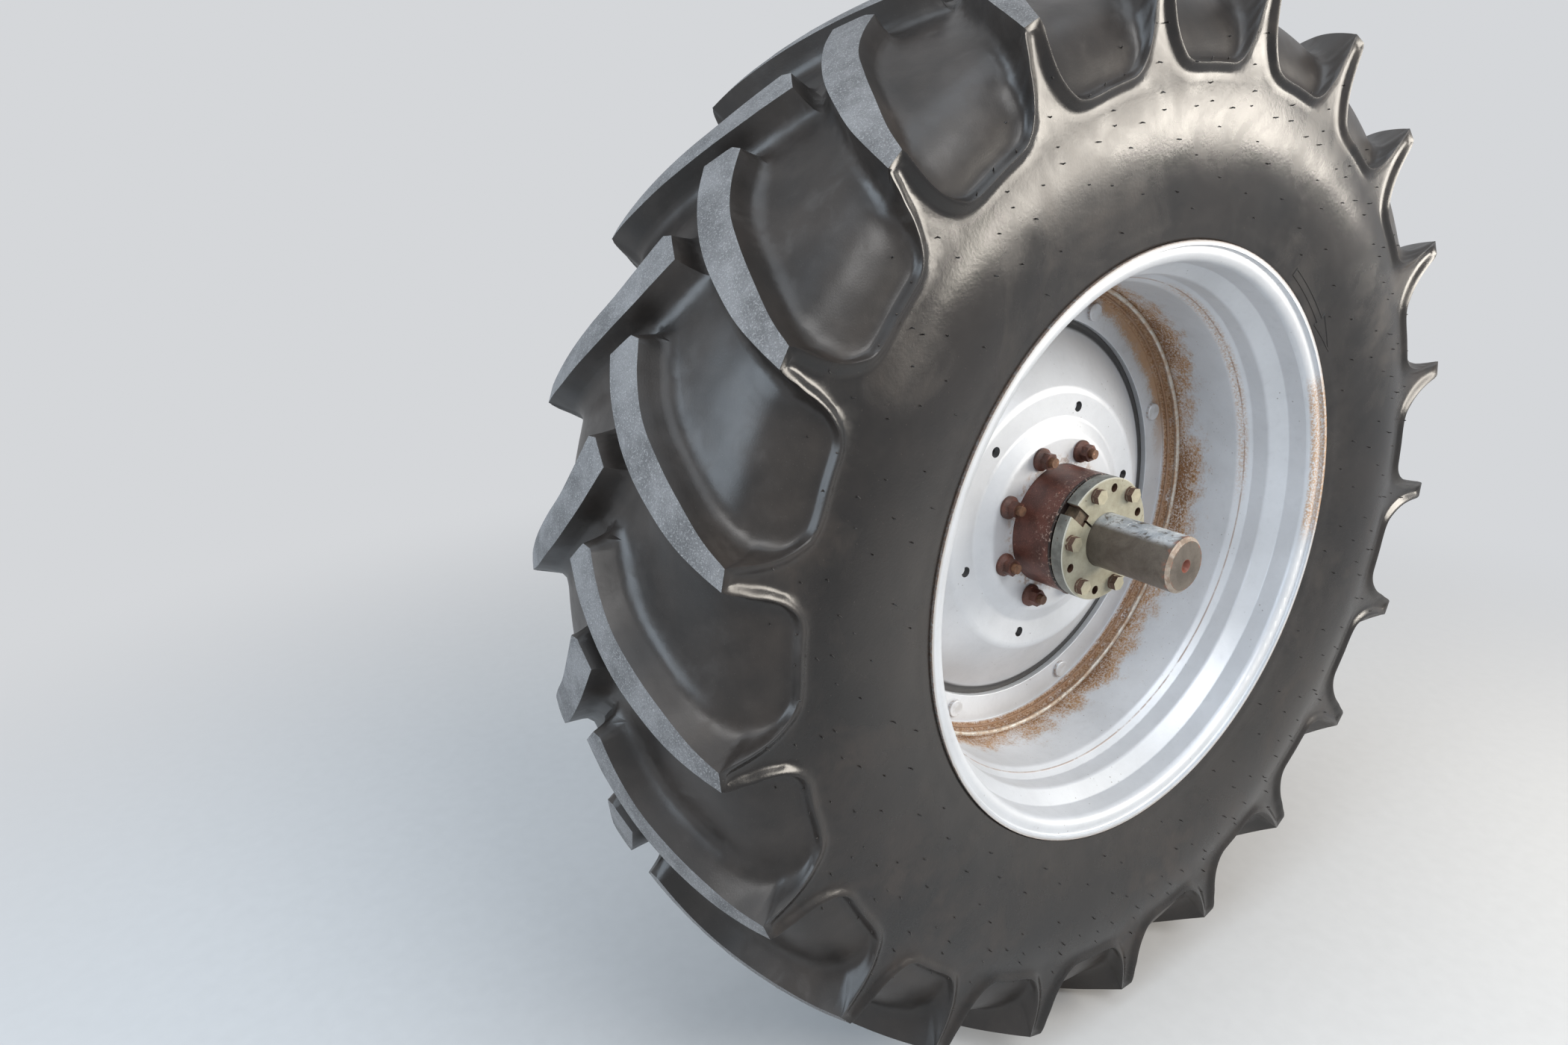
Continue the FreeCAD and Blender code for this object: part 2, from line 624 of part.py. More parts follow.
def splined(length, y0):
    # The driven end of the bar: straight teeth cut into its outside
    corners = [polar(SHAFT_R - depth, y0, FULL * (i + share) / SPLINE_TEETH)
               for i in range(SPLINE_TEETH) for share, depth in SPLINE]
    return Part.Face(Part.makePolygon(corners + corners[:1])).extrude(FreeCAD.Vector(0, length, 0))


def axle_shaft():
    # A plain bar, chamfered at its free end with a lathe centre, and splined at its driven end
    end_y = SHAFT_END_Y - WHEEL_OUT
    teeth_y = -SHAFT_INNER_GAP - SPLINE_LENGTH
    plain = closed([(0, end_y, 0), (SHAFT_R - SHAFT_CHAMFER, end_y, 0), (SHAFT_R, end_y + SHAFT_CHAMFER, 0),
                    (SHAFT_R, teeth_y, 0), (0, teeth_y, 0)])
    cone_y = end_y + CENTRE_CONE_DEPTH
    foot_y = end_y + CENTRE_HOLE_DEPTH
    centre_hole = closed([(0, end_y - PAST, 0), (CENTRE_MOUTH_R, end_y - PAST, 0), (CENTRE_MOUTH_R, end_y, 0),
                          (CENTRE_HOLE_R, cone_y, 0), (CENTRE_HOLE_R, foot_y, 0), (0, foot_y, 0)])
    return plain.fuse(splined(SPLINE_LENGTH, teeth_y)).cut(centre_hole)


def housing():
    # A trumpet casting, hollow round the bar, with a bearing seat at each end
    seat_r = BEARING_OUTER_R + SEAT_GAP
    hollow_r = TRUMPET_SMALL_R - TRUMPET_WALL
    stop_r = SHAFT_R + TRUMPET_WALL
    outer_stop = HOUSING_END_Y + BEARING_WIDTH
    inner_stop = INNER_BEARING_Y - BEARING_WIDTH
    boss_back = HOUSING_END_Y + END_BOSS_LENGTH
    body = closed([(seat_r, 0, 0), (FLANGE_OUTER_R, 0, CASTING_BEND),
                   (FLANGE_OUTER_R, -FLANGE_THICK, CASTING_BEND),
                   (TRUMPET_LARGE_R, -FLANGE_THICK, FLANGE_FILLET),
                   (TRUMPET_SMALL_R, TRUMPET_STRAIGHT_Y, TRUMPET_BEND),
                   (TRUMPET_SMALL_R, boss_back, CASTING_BEND), (END_BOSS_R, boss_back, CASTING_BEND),
                   (END_BOSS_R, HOUSING_END_Y, 0), (seat_r, HOUSING_END_Y, 0), (seat_r, outer_stop, 0),
                   (stop_r, outer_stop, 0), (stop_r, outer_stop + TRUMPET_WALL, 0),
                   (hollow_r, outer_stop + 2 * TRUMPET_WALL, 0), (hollow_r, inner_stop - 2 * TRUMPET_WALL, 0),
                   (stop_r, inner_stop - TRUMPET_WALL, 0), (stop_r, inner_stop, 0), (seat_r, inner_stop, 0)])
    cuts = holes(FLANGE_HOLE_R, FLANGE_BOLT_R, FLANGE_BOLTS, FLANGE_HOLE_ANGLE, -FLANGE_THICK - PAST, PAST)
    cuts += holes(CAP_THREAD_R, CAP_BOLT_R, CAP_BOLTS, CAP_BOLT_ANGLE,
                  HOUSING_END_Y - PAST, HOUSING_END_Y + CAP_THREAD_DEPTH)
    return body.cut(cuts)


def bearing(y0):
    return tube(BEARING_OUTER_R, y0, y0 + BEARING_WIDTH, SHAFT_R + RUN_GAP)


def bearing_cap():
    out = HOUSING_END_Y - CAP_THICK
    bore = SHAFT_R + RUN_GAP
    lip_y = out - CAP_LIP_LENGTH
    body = closed([(bore, lip_y, SHARP_BEND), (CAP_LIP_R, lip_y, CASTING_BEND),
                   (CAP_LIP_R, out, CASTING_BEND), (CAP_R, out, CASTING_BEND),
                   (CAP_R, HOUSING_END_Y, 0), (bore, HOUSING_END_Y, 0)])
    return body.cut(holes(CAP_SCREW[0] + HOLE_GAP, CAP_BOLT_R, CAP_BOLTS, CAP_BOLT_ANGLE,
                          out - PAST, HOUSING_END_Y + PAST))


def cap_screws():
    one = screw(CAP_SCREW, HOUSING_END_Y - CAP_THICK, HOUSING_END_Y + CAP_SCREW_DEPTH)
    return Part.makeCompound(around(one, CAP_BOLT_R, CAP_BOLTS, CAP_BOLT_ANGLE))


def main():
    halves = sleeve_halves()
    on_wheel = {"tyre": tyre(), "rim": rim(), "mounting_ring": mounting_ring(), "disc": disc(), "hub": hub(),
                "hub_key": key_block(), "sleeve_upper": halves[0], "sleeve_lower": halves[1],
                "wheel_studs": wheel_studs(), "wheel_nuts": wheel_nuts(), "ring_screws": ring_screws(),
                "ring_nuts": ring_nuts(), "sleeve_screws": sleeve_screws(), "valve": valve()}
    for shape in on_wheel.values():
        shape.translate(FreeCAD.Vector(0, -WHEEL_OUT, 0))
    fixed = {"axle_shaft": axle_shaft(), "axle_housing": housing(), "bearing_cap": bearing_cap(),
             "cap_screws": cap_screws(), "outer_bearing": bearing(HOUSING_END_Y),
             "inner_bearing": bearing(INNER_BEARING_Y - BEARING_WIDTH)}
    os.makedirs("parts", exist_ok=True)
    for name, shape in {**on_wheel, **fixed}.items():
        shape.exportStep("parts/%s.step" % name)
        print(name, len(shape.Solids), shape.isValid(), round(shape.Volume / 1e6, 3))


main()
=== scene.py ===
import math
import random

import bpy
import numpy as np
from mathutils import Matrix, Vector
from mathutils.bvhtree import BVHTree
from mathutils.geometry import delaunay_2d_cdt


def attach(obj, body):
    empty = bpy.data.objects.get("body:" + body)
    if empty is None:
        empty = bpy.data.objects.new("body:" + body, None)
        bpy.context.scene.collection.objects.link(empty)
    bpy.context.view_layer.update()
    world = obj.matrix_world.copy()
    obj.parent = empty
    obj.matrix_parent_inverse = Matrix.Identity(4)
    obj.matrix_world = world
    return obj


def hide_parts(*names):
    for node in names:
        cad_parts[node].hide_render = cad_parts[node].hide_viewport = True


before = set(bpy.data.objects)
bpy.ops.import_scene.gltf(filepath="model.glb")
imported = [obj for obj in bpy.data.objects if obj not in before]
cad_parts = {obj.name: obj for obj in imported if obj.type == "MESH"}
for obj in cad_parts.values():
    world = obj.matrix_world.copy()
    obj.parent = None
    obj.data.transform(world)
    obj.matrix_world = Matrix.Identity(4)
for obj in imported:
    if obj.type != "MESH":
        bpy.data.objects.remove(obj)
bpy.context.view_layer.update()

# Metres, row frame: +X forward, +Y towards the tractor, +Z up; the wheel turns about the Y axis.
WHEEL_Y = -0.635
PITCHES = 21
PITCH = 360.0 / PITCHES
FLOOR_Z = -0.9285
# Rays that see the backdrop's own pale shade
SEEN_BY = ("Is Camera Ray", "Is Glossy Ray", "Is Transmission Ray")


# ---- Camera, floor and light ----

def make_camera():
    yaw, pitch, roll = (math.radians(a) for a in (35.74, 18.77, 0.53))
    ahead = Vector((math.sin(yaw) * math.cos(pitch), math.cos(yaw) * math.cos(pitch), -math.sin(pitch)))
    right = Vector((math.cos(yaw), -math.sin(yaw), 0))
    down = ahead.cross(right)
    across = right * math.cos(roll) + down * math.sin(roll)
    lower = down * math.cos(roll) - right * math.sin(roll)
    turn = Matrix((across, -lower, -ahead)).transposed().to_4x4()
    data = bpy.data.cameras.new("view")
    data.sensor_width = 36.0
    data.lens = 24.57
    data.clip_end = 100
    camera = bpy.data.objects.new("view", data)
    camera.matrix_world = Matrix.Translation((-1.468, -1.8605, 0.6287)) @ turn
    bpy.context.scene.collection.objects.link(camera)
    bpy.context.scene.camera = camera


def area_light(name, place, target, size, power, colour=(1, 1, 1)):
    data = bpy.data.lights.new(name, "AREA")
    data.shape = "RECTANGLE"
    data.size, data.size_y = size
    data.energy = power
    data.color = colour
    lamp = bpy.data.objects.new(name, data)
    lamp.location = place
    lamp.rotation_euler = (Vector(target) - Vector(place)).to_track_quat("-Z", "Y").to_euler()
    bpy.context.scene.collection.objects.link(lamp)


# ---- Materials ----

class Paint:
    """A node material; each helper returns an output socket."""

    def __init__(self, name, **shader):
        self.material = bpy.data.materials.new(name)
        self.material.use_nodes = True
        self.tree = self.material.node_tree
        self.shader = self.tree.nodes["Principled BSDF"]
        for key, value in shader.items():
            self.shader.inputs[key.replace("_", " ")].default_value = value
        coordinates = self.node("ShaderNodeTexCoord")
        self.place = coordinates.outputs["Object"]
        self.normal = coordinates.outputs["Normal"]
        x, z = self.axis("X"), self.axis("Z")
        self.radius = self.sum("SQRT", self.sum("ADD", self.sum("MULTIPLY", x, x), self.sum("MULTIPLY", z, z)))
        self.turn = self.sum("DIVIDE", self.sum("ARCTAN2", z, x), 2 * math.pi)
        self.depth = self.sum("SUBTRACT", self.axis("Y"), WHEEL_Y)
        self.facing = self.axis("Y", self.normal)

    def node(self, kind, **facts):
        made = self.tree.nodes.new(kind)
        for key, value in facts.items():
            setattr(made, key, value)
        return made

    def put(self, socket, value):
        if isinstance(value, bpy.types.NodeSocket):
            self.tree.links.new(value, socket)
        else:
            socket.default_value = value

    def axis(self, name, vector=None):
        apart = self.node("ShaderNodeSeparateXYZ")
        self.put(apart.inputs[0], vector or self.place)
        return apart.outputs[name]

    def sum(self, kind, a, b=0.0, c=0.0, clamp=False):
        made = self.node("ShaderNodeMath", operation=kind, use_clamp=clamp)
        for socket, value in zip(made.inputs, (a, b, c)):
            self.put(socket, value)
        return made.outputs[0]

    def wrapped(self, across, along):
        """Places rolled out about the axle: radius and depth times across, turn in metres times along."""
        joined = self.node("ShaderNodeCombineXYZ")
        self.put(joined.inputs[0], self.sum("MULTIPLY", self.radius, across))
        self.put(joined.inputs[1], self.sum("MULTIPLY", self.depth, across))
        self.put(joined.inputs[2], self.sum("MULTIPLY", self.turn, 3.0 * along))
        return joined.outputs[0]

    def noise(self, scale, detail=4.0, rough=0.55, where=None, twist=0.0):
        made = self.node("ShaderNodeTexNoise")
        self.put(made.inputs["Vector"], where or self.place)
        for key, value in (("Scale", scale), ("Detail", detail), ("Roughness", rough), ("Distortion", twist)):
            made.inputs[key].default_value = value
        return made.outputs[0]

    def cells(self, scale, feature="F1", where=None):
        made = self.node("ShaderNodeTexVoronoi", feature=feature)
        self.put(made.inputs["Vector"], where or self.place)
        made.inputs["Scale"].default_value = scale
        return made.outputs["Distance"]

    def span(self, value, low, high):
        """0 at low and 1 at high, smooth between, either way round."""
        made = self.node("ShaderNodeMapRange", clamp=True, interpolation_type="SMOOTHSTEP")
        self.put(made.inputs["Value"], value)
        made.inputs["From Min"].default_value = low
        made.inputs["From Max"].default_value = high
        return made.outputs["Result"]

    def band(self, value, low, high, soft):
        """1 between low and high, 0 beyond soft on both sides."""
        return self.both(self.span(value, low - soft, low), self.span(value, high + soft, high))

    def level(self, value, low, high):
        """0..1 stretched to low..high."""
        return self.sum("MULTIPLY_ADD", value, high - low, low)

    def both(self, *masks):
        out = masks[0]
        for mask in masks[1:]:
            out = self.sum("MULTIPLY", out, mask)
        return out

    def either(self, *masks):
        out = masks[0]
        for mask in masks[1:]:
            out = self.sum("MAXIMUM", out, mask)
        return out

    def part(self, mask, share):
        return self.sum("MULTIPLY", mask, share)

    def mix(self, share, one, two):
        made = self.node("ShaderNodeMix", data_type="RGBA")
        self.put(made.inputs[0], share)
        for socket, value in ((made.inputs[6], one), (made.inputs[7], two)):
            self.put(socket, value if isinstance(value, bpy.types.NodeSocket) else (*value, 1.0))
        return made.outputs[2]

    def blend(self, share, one, two):
        made = self.node("ShaderNodeMix", data_type="FLOAT")
        for socket, value in zip((made.inputs[0], made.inputs[2], made.inputs[3]), (share, one, two)):
            self.put(socket, value)
        return made.outputs[0]

    def finish(self, colour, rough=None, metal=None, bumps=()):
        """Links the shader; bumps are (height, distance in metres)."""
        self.put(self.shader.inputs["Base Color"], colour)
        if rough:
            self.put(self.shader.inputs["Roughness"], rough)
        if metal:
            self.put(self.shader.inputs["Metallic"], metal)
        last = None
        for height, distance in bumps:
            made = self.node("ShaderNodeBump")
            made.inputs["Distance"].default_value = distance
            self.put(made.inputs["Height"], height)
            if last:
                self.put(made.inputs["Normal"], last)
            last = made.outputs[0]
        if last:
            self.put(self.shader.inputs["Normal"], last)
        return self.material


# ---- Tyre ----

# Lug top, from the nose out: distance from the centre plane towards its own shoulder (mm), turn (degrees)
LUG_LEAD = ((6, -0.1), (26, 0.0), (49, 2.6), (84, 5.6), (134, 8.35), (184, 10.85), (234, 13.35), (262, 14.5))
LUG_TRAIL = ((-30, 1.85), (4, 4.85), (44, 7.6), (84, 9.85), (134, 12.1), (184, 14.1), (229, 15.45), (262, 16.35))
# Lip of a pocket, from one lug's tip round to the next lug's tip: distance along the section, turn
LIP = ((262, 16.35), (271, 16.55), (294, 16.8), (308, 17.03), (328, 17.25), (344, 17.58), (361, 18.13), (376, 18.93),
       (384, 19.73), (387.5, 20.5), (388, 21.5), (388, 24.0), (388, 26.6), (387, 27.4), (384.5, 28.2), (380, 28.9),
       (368, 29.7), (354, 30.35), (338, 30.85), (318, 31.2), (294, 31.4), (271, 31.5), (262, 31.643))
# Along the section: distance, then distance from the centre plane and radius of crest, wall and floor
SECTION = ((0, 0, 928.0, 0, 928.0, 0, 882), (60, 60, 925.5, 60, 925.5, 60, 879.5), (134, 134, 915.7, 134, 915.7, 134, 869),
           (184, 184, 904.6, 184, 904.6, 180, 857), (215, 215, 896.0, 215, 896.0, 203, 846),
           (240, 240, 887.6, 240, 887.6, 219, 832), (255, 255, 881.8, 255, 881.8, 228, 820),
           (262, 261.8, 878.5, 261.0, 878.5, 231, 815), (271, 263.0, 870, 258.6, 870, 235, 807),
           (291, 263.6, 850, 256.6, 850, 240.5, 794), (311, 263.8, 830, 255.7, 830, 244, 783),
           (331, 263.8, 810, 255.4, 810, 246.5, 774), (351, 263.8, 790, 255.5, 790, 248.5, 766),
           (371, 263.8, 770, 255.9, 770, 250.5, 758), (386, 263.8, 755, 256.5, 755, 252.5, 751),
           (396, 263.8, 745, 257.3, 745, 254.5, 744), (404, 263.8, 737, 258.4, 737, 257, 737),
           (414, 263.9, 727, 260.0, 727, 260, 727))
SECTION_END = 414
CROWN_TOP = 0.9276
EVEN_SCALE = 15.4
# Side wall from the lips to the rim: radius, distance from the centre plane
WALL = ((727, 260.0), (714, 261.7), (700, 263.0), (684, 263.7), (668, 263.4), (650, 262.3), (632, 260.6), (614, 258.3),
        (597, 255.7), (581, 252.9), (567, 250.2), (556, 248.0), (548, 246.3), (541, 244.9), (535, 243.8), (530, 243.0),
        (525, 242.0), (520, 240.9), (515, 239.9), (511, 239.2), (508.8, 237.6), (508.4, 234.0), (508.4, 229.5))
# Bead and lining, from the rim's flange round the inside to the middle of the tread
LINING = ((508.4, 228.3), (492.0, 228.3), (483.0, 219.3), (483.0, 192.0), (690, 246.0), (822, 194.0), (854, 70.0))
# Drop from a lug's edge into the groove, and from a lip into its pocket: distance in mm, share left
GROOVE = ((0, 0.985), (1.2, 0.93), (4, 0.63), (7, 0.38), (10.5, 0.215), (15, 0.115), (21, 0.05), (30, 0.012), (40, 0.0))
POCKET = ((0, 0.985), (1.5, 0.93), (5, 0.62), (9, 0.36), (14, 0.17), (20, 0.075), (28, 0.02), (38, 0.0))
# Back of a lip down to the side wall
LIP_BACK = ((0, 1.0), (1.8, 0.97), (4.5, 0.83), (7.5, 0.6), (10.2, 0.36), (12.5, 0.18), (15.5, 0.04), (18, 0.0), (24, 0.0))
# Ramp ahead of a lug's nose, and the part of the section along which it turns into the steep wall
RAMP = ((0, 0.985), (2, 0.94), (6, 0.73), (10, 0.54), (15, 0.34), (21, 0.18), (28, 0.075), (36, 0.02), (45, 0.0))
RAMP_END = (24.0, 62.0)
# Creases that run down from the two front corners of a nose
CREASES = (((6, -0.1), (8.2, -0.55), (9.5, -1.1), (9.8, -1.6), (9.8, -2.3)), ((-30, 1.85), (-44, 1.74), (-58, 1.64)))


def curve_at(table, column, at):
    """Smooth value of one column of a table at the places given."""
    x = np.array([row[0] for row in table], float)
    y = np.array([row[column] for row in table], float)
    step = np.diff(y) / np.diff(x)
    slope = np.concatenate(([step[0]], (step[:-1] * np.diff(x)[1:] + step[1:] * np.diff(x)[:-1])
                            / (x[2:] - x[:-2]), [step[-1]]))
    at = np.clip(np.asarray(at, float), x[0], x[-1])
    i = np.clip(np.searchsorted(x, at, side="right") - 1, 0, len(x) - 2)
    wide = x[i + 1] - x[i]
    t = (at - x[i]) / wide
    return ((2 * t ** 3 - 3 * t ** 2 + 1) * y[i] + (t ** 3 - 2 * t ** 2 + t) * wide * slope[i]
            + (3 * t ** 2 - 2 * t ** 3) * y[i + 1] + (t ** 3 - t ** 2) * wide * slope[i + 1])


def scale_at(s):
    """Millimetres per degree of turn at a distance along the section."""
    return np.radians(1.0) * curve_at(SECTION, 2, np.abs(s))


def densely(line, step, closed=False):
    """Points along a polyline of (distance, turn), in plane coordinates, its corners kept."""
    out = []
    for (s0, t0), (s1, t1) in zip(line, line[1:]):
        long = math.hypot(s1 - s0, (t1 - t0) * 15.0)
        count = max(1, round(long / step))
        out += [(s0 + (s1 - s0) * i / count, t0 + (t1 - t0) * i / count) for i in range(count)]
    return out + [line[-1]]


def smooth_line(line, step):
    """A smooth run through the points of (distance, turn)."""
    pts = np.array(line, float)
    flat = pts * (1.0, 15.0)
    far = np.concatenate(([0], np.cumsum(np.linalg.norm(np.diff(flat, axis=0), axis=1))))
    table = [(d, *p) for d, p in zip(far, pts)]
    at = np.linspace(0, far[-1], max(2, round(far[-1] / step) + 1))
    return list(zip(curve_at(table, 1, at), curve_at(table, 2, at)))


def side_lines(step):
    """The outlines of one pitch on one side: a lug's top and the lip of the pocket behind it."""
    lead = LUG_LEAD[:2] + tuple(smooth_line(LUG_LEAD[1:], step)[1:])
    trail = smooth_line(LUG_TRAIL, step)
    nose = densely((LUG_TRAIL[0], LUG_LEAD[0], LUG_LEAD[1]), step)
    lug = nose[:-1] + list(lead[1:]) + trail[::-1]
    lip = smooth_line(LIP, step)
    return lug, lip


def plane(side, s, turn):
    """Outboard is the side at -1."""
    s = np.asarray(s, float)
    return np.stack([side * s, np.asarray(turn, float) * scale_at(s)], -1)


def segments(points, closed):
    loop = np.concatenate([points, points[:1]]) if closed else points
    return loop[:-1], loop[1:]


def distance_to(points, starts, ends):
    """Least distance from each point to the segments."""
    least = np.full(len(points), 1e9)
    along = ends - starts
    size = np.maximum((along ** 2).sum(1), 1e-9)
    for first in range(0, len(points), 400):
        p = points[first:first + 400, None, :]
        t = np.clip(((p - starts) * along).sum(2) / size, 0, 1)
        gap = np.linalg.norm(p - (starts + t[..., None] * along), axis=2).min(1)
        least[first:first + 400] = gap
    return least


def inside(points, polygon):
    """Whether each point is in the closed polygon."""
    x, y = points[:, 0], points[:, 1]
    out = np.zeros(len(points), bool)
    for (x0, y0), (x1, y1) in zip(polygon, np.roll(polygon, -1, axis=0)):
        crosses = (y0 > y) != (y1 > y)
        out ^= crosses & (x < (x1 - x0) * (y - y0) / (y1 - y0 + 1e-12) + x0)
    return out


class Pattern:
    """The tread's plane pattern: lug polygons and lip lines of the near pitches on both sides."""

    def __init__(self, step):
        lug, lip = side_lines(step)
        self.lug, self.lip = np.array(lug), np.array(lip)
        self.lugs, self.pockets = [], []
        for side, offset in ((-1, 0.0), (1, PITCH / 2)):
            for k in range(-3, 4):
                turn = offset + k * PITCH
                self.lugs.append(plane(side, self.lug[:, 0], self.lug[:, 1] + turn))
                lips = plane(side, self.lip[:, 0], self.lip[:, 1] + turn)
                self.pockets.append((side, lips))
        self.lug_segments = [np.concatenate(a) for a in zip(*(segments(l, True) for l in self.lugs))]
        self.lip_segments = [np.concatenate(a) for a in zip(*(segments(l, False) for _, l in self.pockets))]

    def fields(self, points):
        """In a lug's top, in a pocket or groove, distance to lug edges, distance to lips."""
        top = np.zeros(len(points), bool)
        for lug in self.lugs:
            near = np.abs(points[:, 1] - lug[:, 1].mean()) < 400
            top[near] |= inside(points[near], lug)
        pocket = np.zeros(len(points), bool)
        for side, lip in self.pockets:
            closed = np.concatenate([lip, plane(side, [200.0], [0])[:1] * (1, 0) + (0, lip[-1, 1]),
                                     plane(side, [200.0], [0])[:1] * (1, 0) + (0, lip[0, 1])])
            pocket |= inside(points, closed)
        lug_gap = distance_to(points, *self.lug_segments)
        lip_gap = distance_to(points, *self.lip_segments)
        return top, pocket, lug_gap, lip_gap


def steps(table, at):
    return curve_at(table, 1, at)


def nose_share(points):
    """Share of a lug's height round the noses, where the walls meet in creases that run down from the corners."""
    best = np.zeros(len(points))
    scale = scale_at(points[:, 0])
    corners = [np.array([x, turn * 16.0]) for x, turn in (LUG_TRAIL[0], LUG_LEAD[0], LUG_TRAIL[1])]
    front_way, trail_way = (v / np.linalg.norm(v) for v in (corners[1] - corners[0], corners[2] - corners[0]))
    for side, offset in ((-1, 0.0), (1, PITCH / 2)):
        s = side * points[:, 0]
        lead = np.interp(s, [row[0] for row in LUG_LEAD], [row[1] for row in LUG_LEAD])
        fade = np.clip((s - RAMP_END[0]) / (RAMP_END[1] - RAMP_END[0]), 0, 1)
        fade = fade * fade * (3 - 2 * fade)
        for k in range(-3, 5):
            turn = points[:, 1] / scale - offset - k * PITCH
            place = np.stack([s, turn * 16.0], 1) - corners[0]
            ahead = (lead - turn) * scale
            front = place @ np.array([front_way[1], -front_way[0]])
            behind = place @ np.array([-trail_way[1], trail_way[0]])
            rise = steps(RAMP, np.maximum(ahead, 0)) * (1 - fade) + steps(GROOVE, np.maximum(ahead, 0)) * fade
            wall = steps(GROOVE, np.maximum(front, 0))
            at_b = (ahead > 0) & (s > -45) & (s < RAMP_END[1]) & (ahead < 60)
            at_a = (front > 0) & (behind > 0) & (s > -80)
            share = np.where(at_b, np.minimum(wall, rise), 0.0)
            share = np.where(at_a, np.minimum(wall, steps(GROOVE, np.maximum(behind, 0))), share)
            best = np.maximum(best, share)
    return best


def spread(candidates, taken, gap):
    """The candidates that keep their own gap from all taken points, taken in order."""
    cell = 4.0
    grid = {}
    for p in taken:
        grid.setdefault((int(p[0] // cell), int(p[1] // cell)), []).append(p)
    kept = []
    for p, g in zip(candidates, gap):
        ci, cj, reach = int(p[0] // cell), int(p[1] // cell), int(g // cell) + 1
        near = (q for i in range(ci - reach, ci + reach + 1) for j in range(cj - reach, cj + reach + 1)
                for q in grid.get((i, j), ()))
        if all((p[0] - q[0]) ** 2 + (p[1] - q[1]) ** 2 > g * g for q in near):
            kept.append(p)
            grid.setdefault((ci, cj), []).append(p)
    return kept


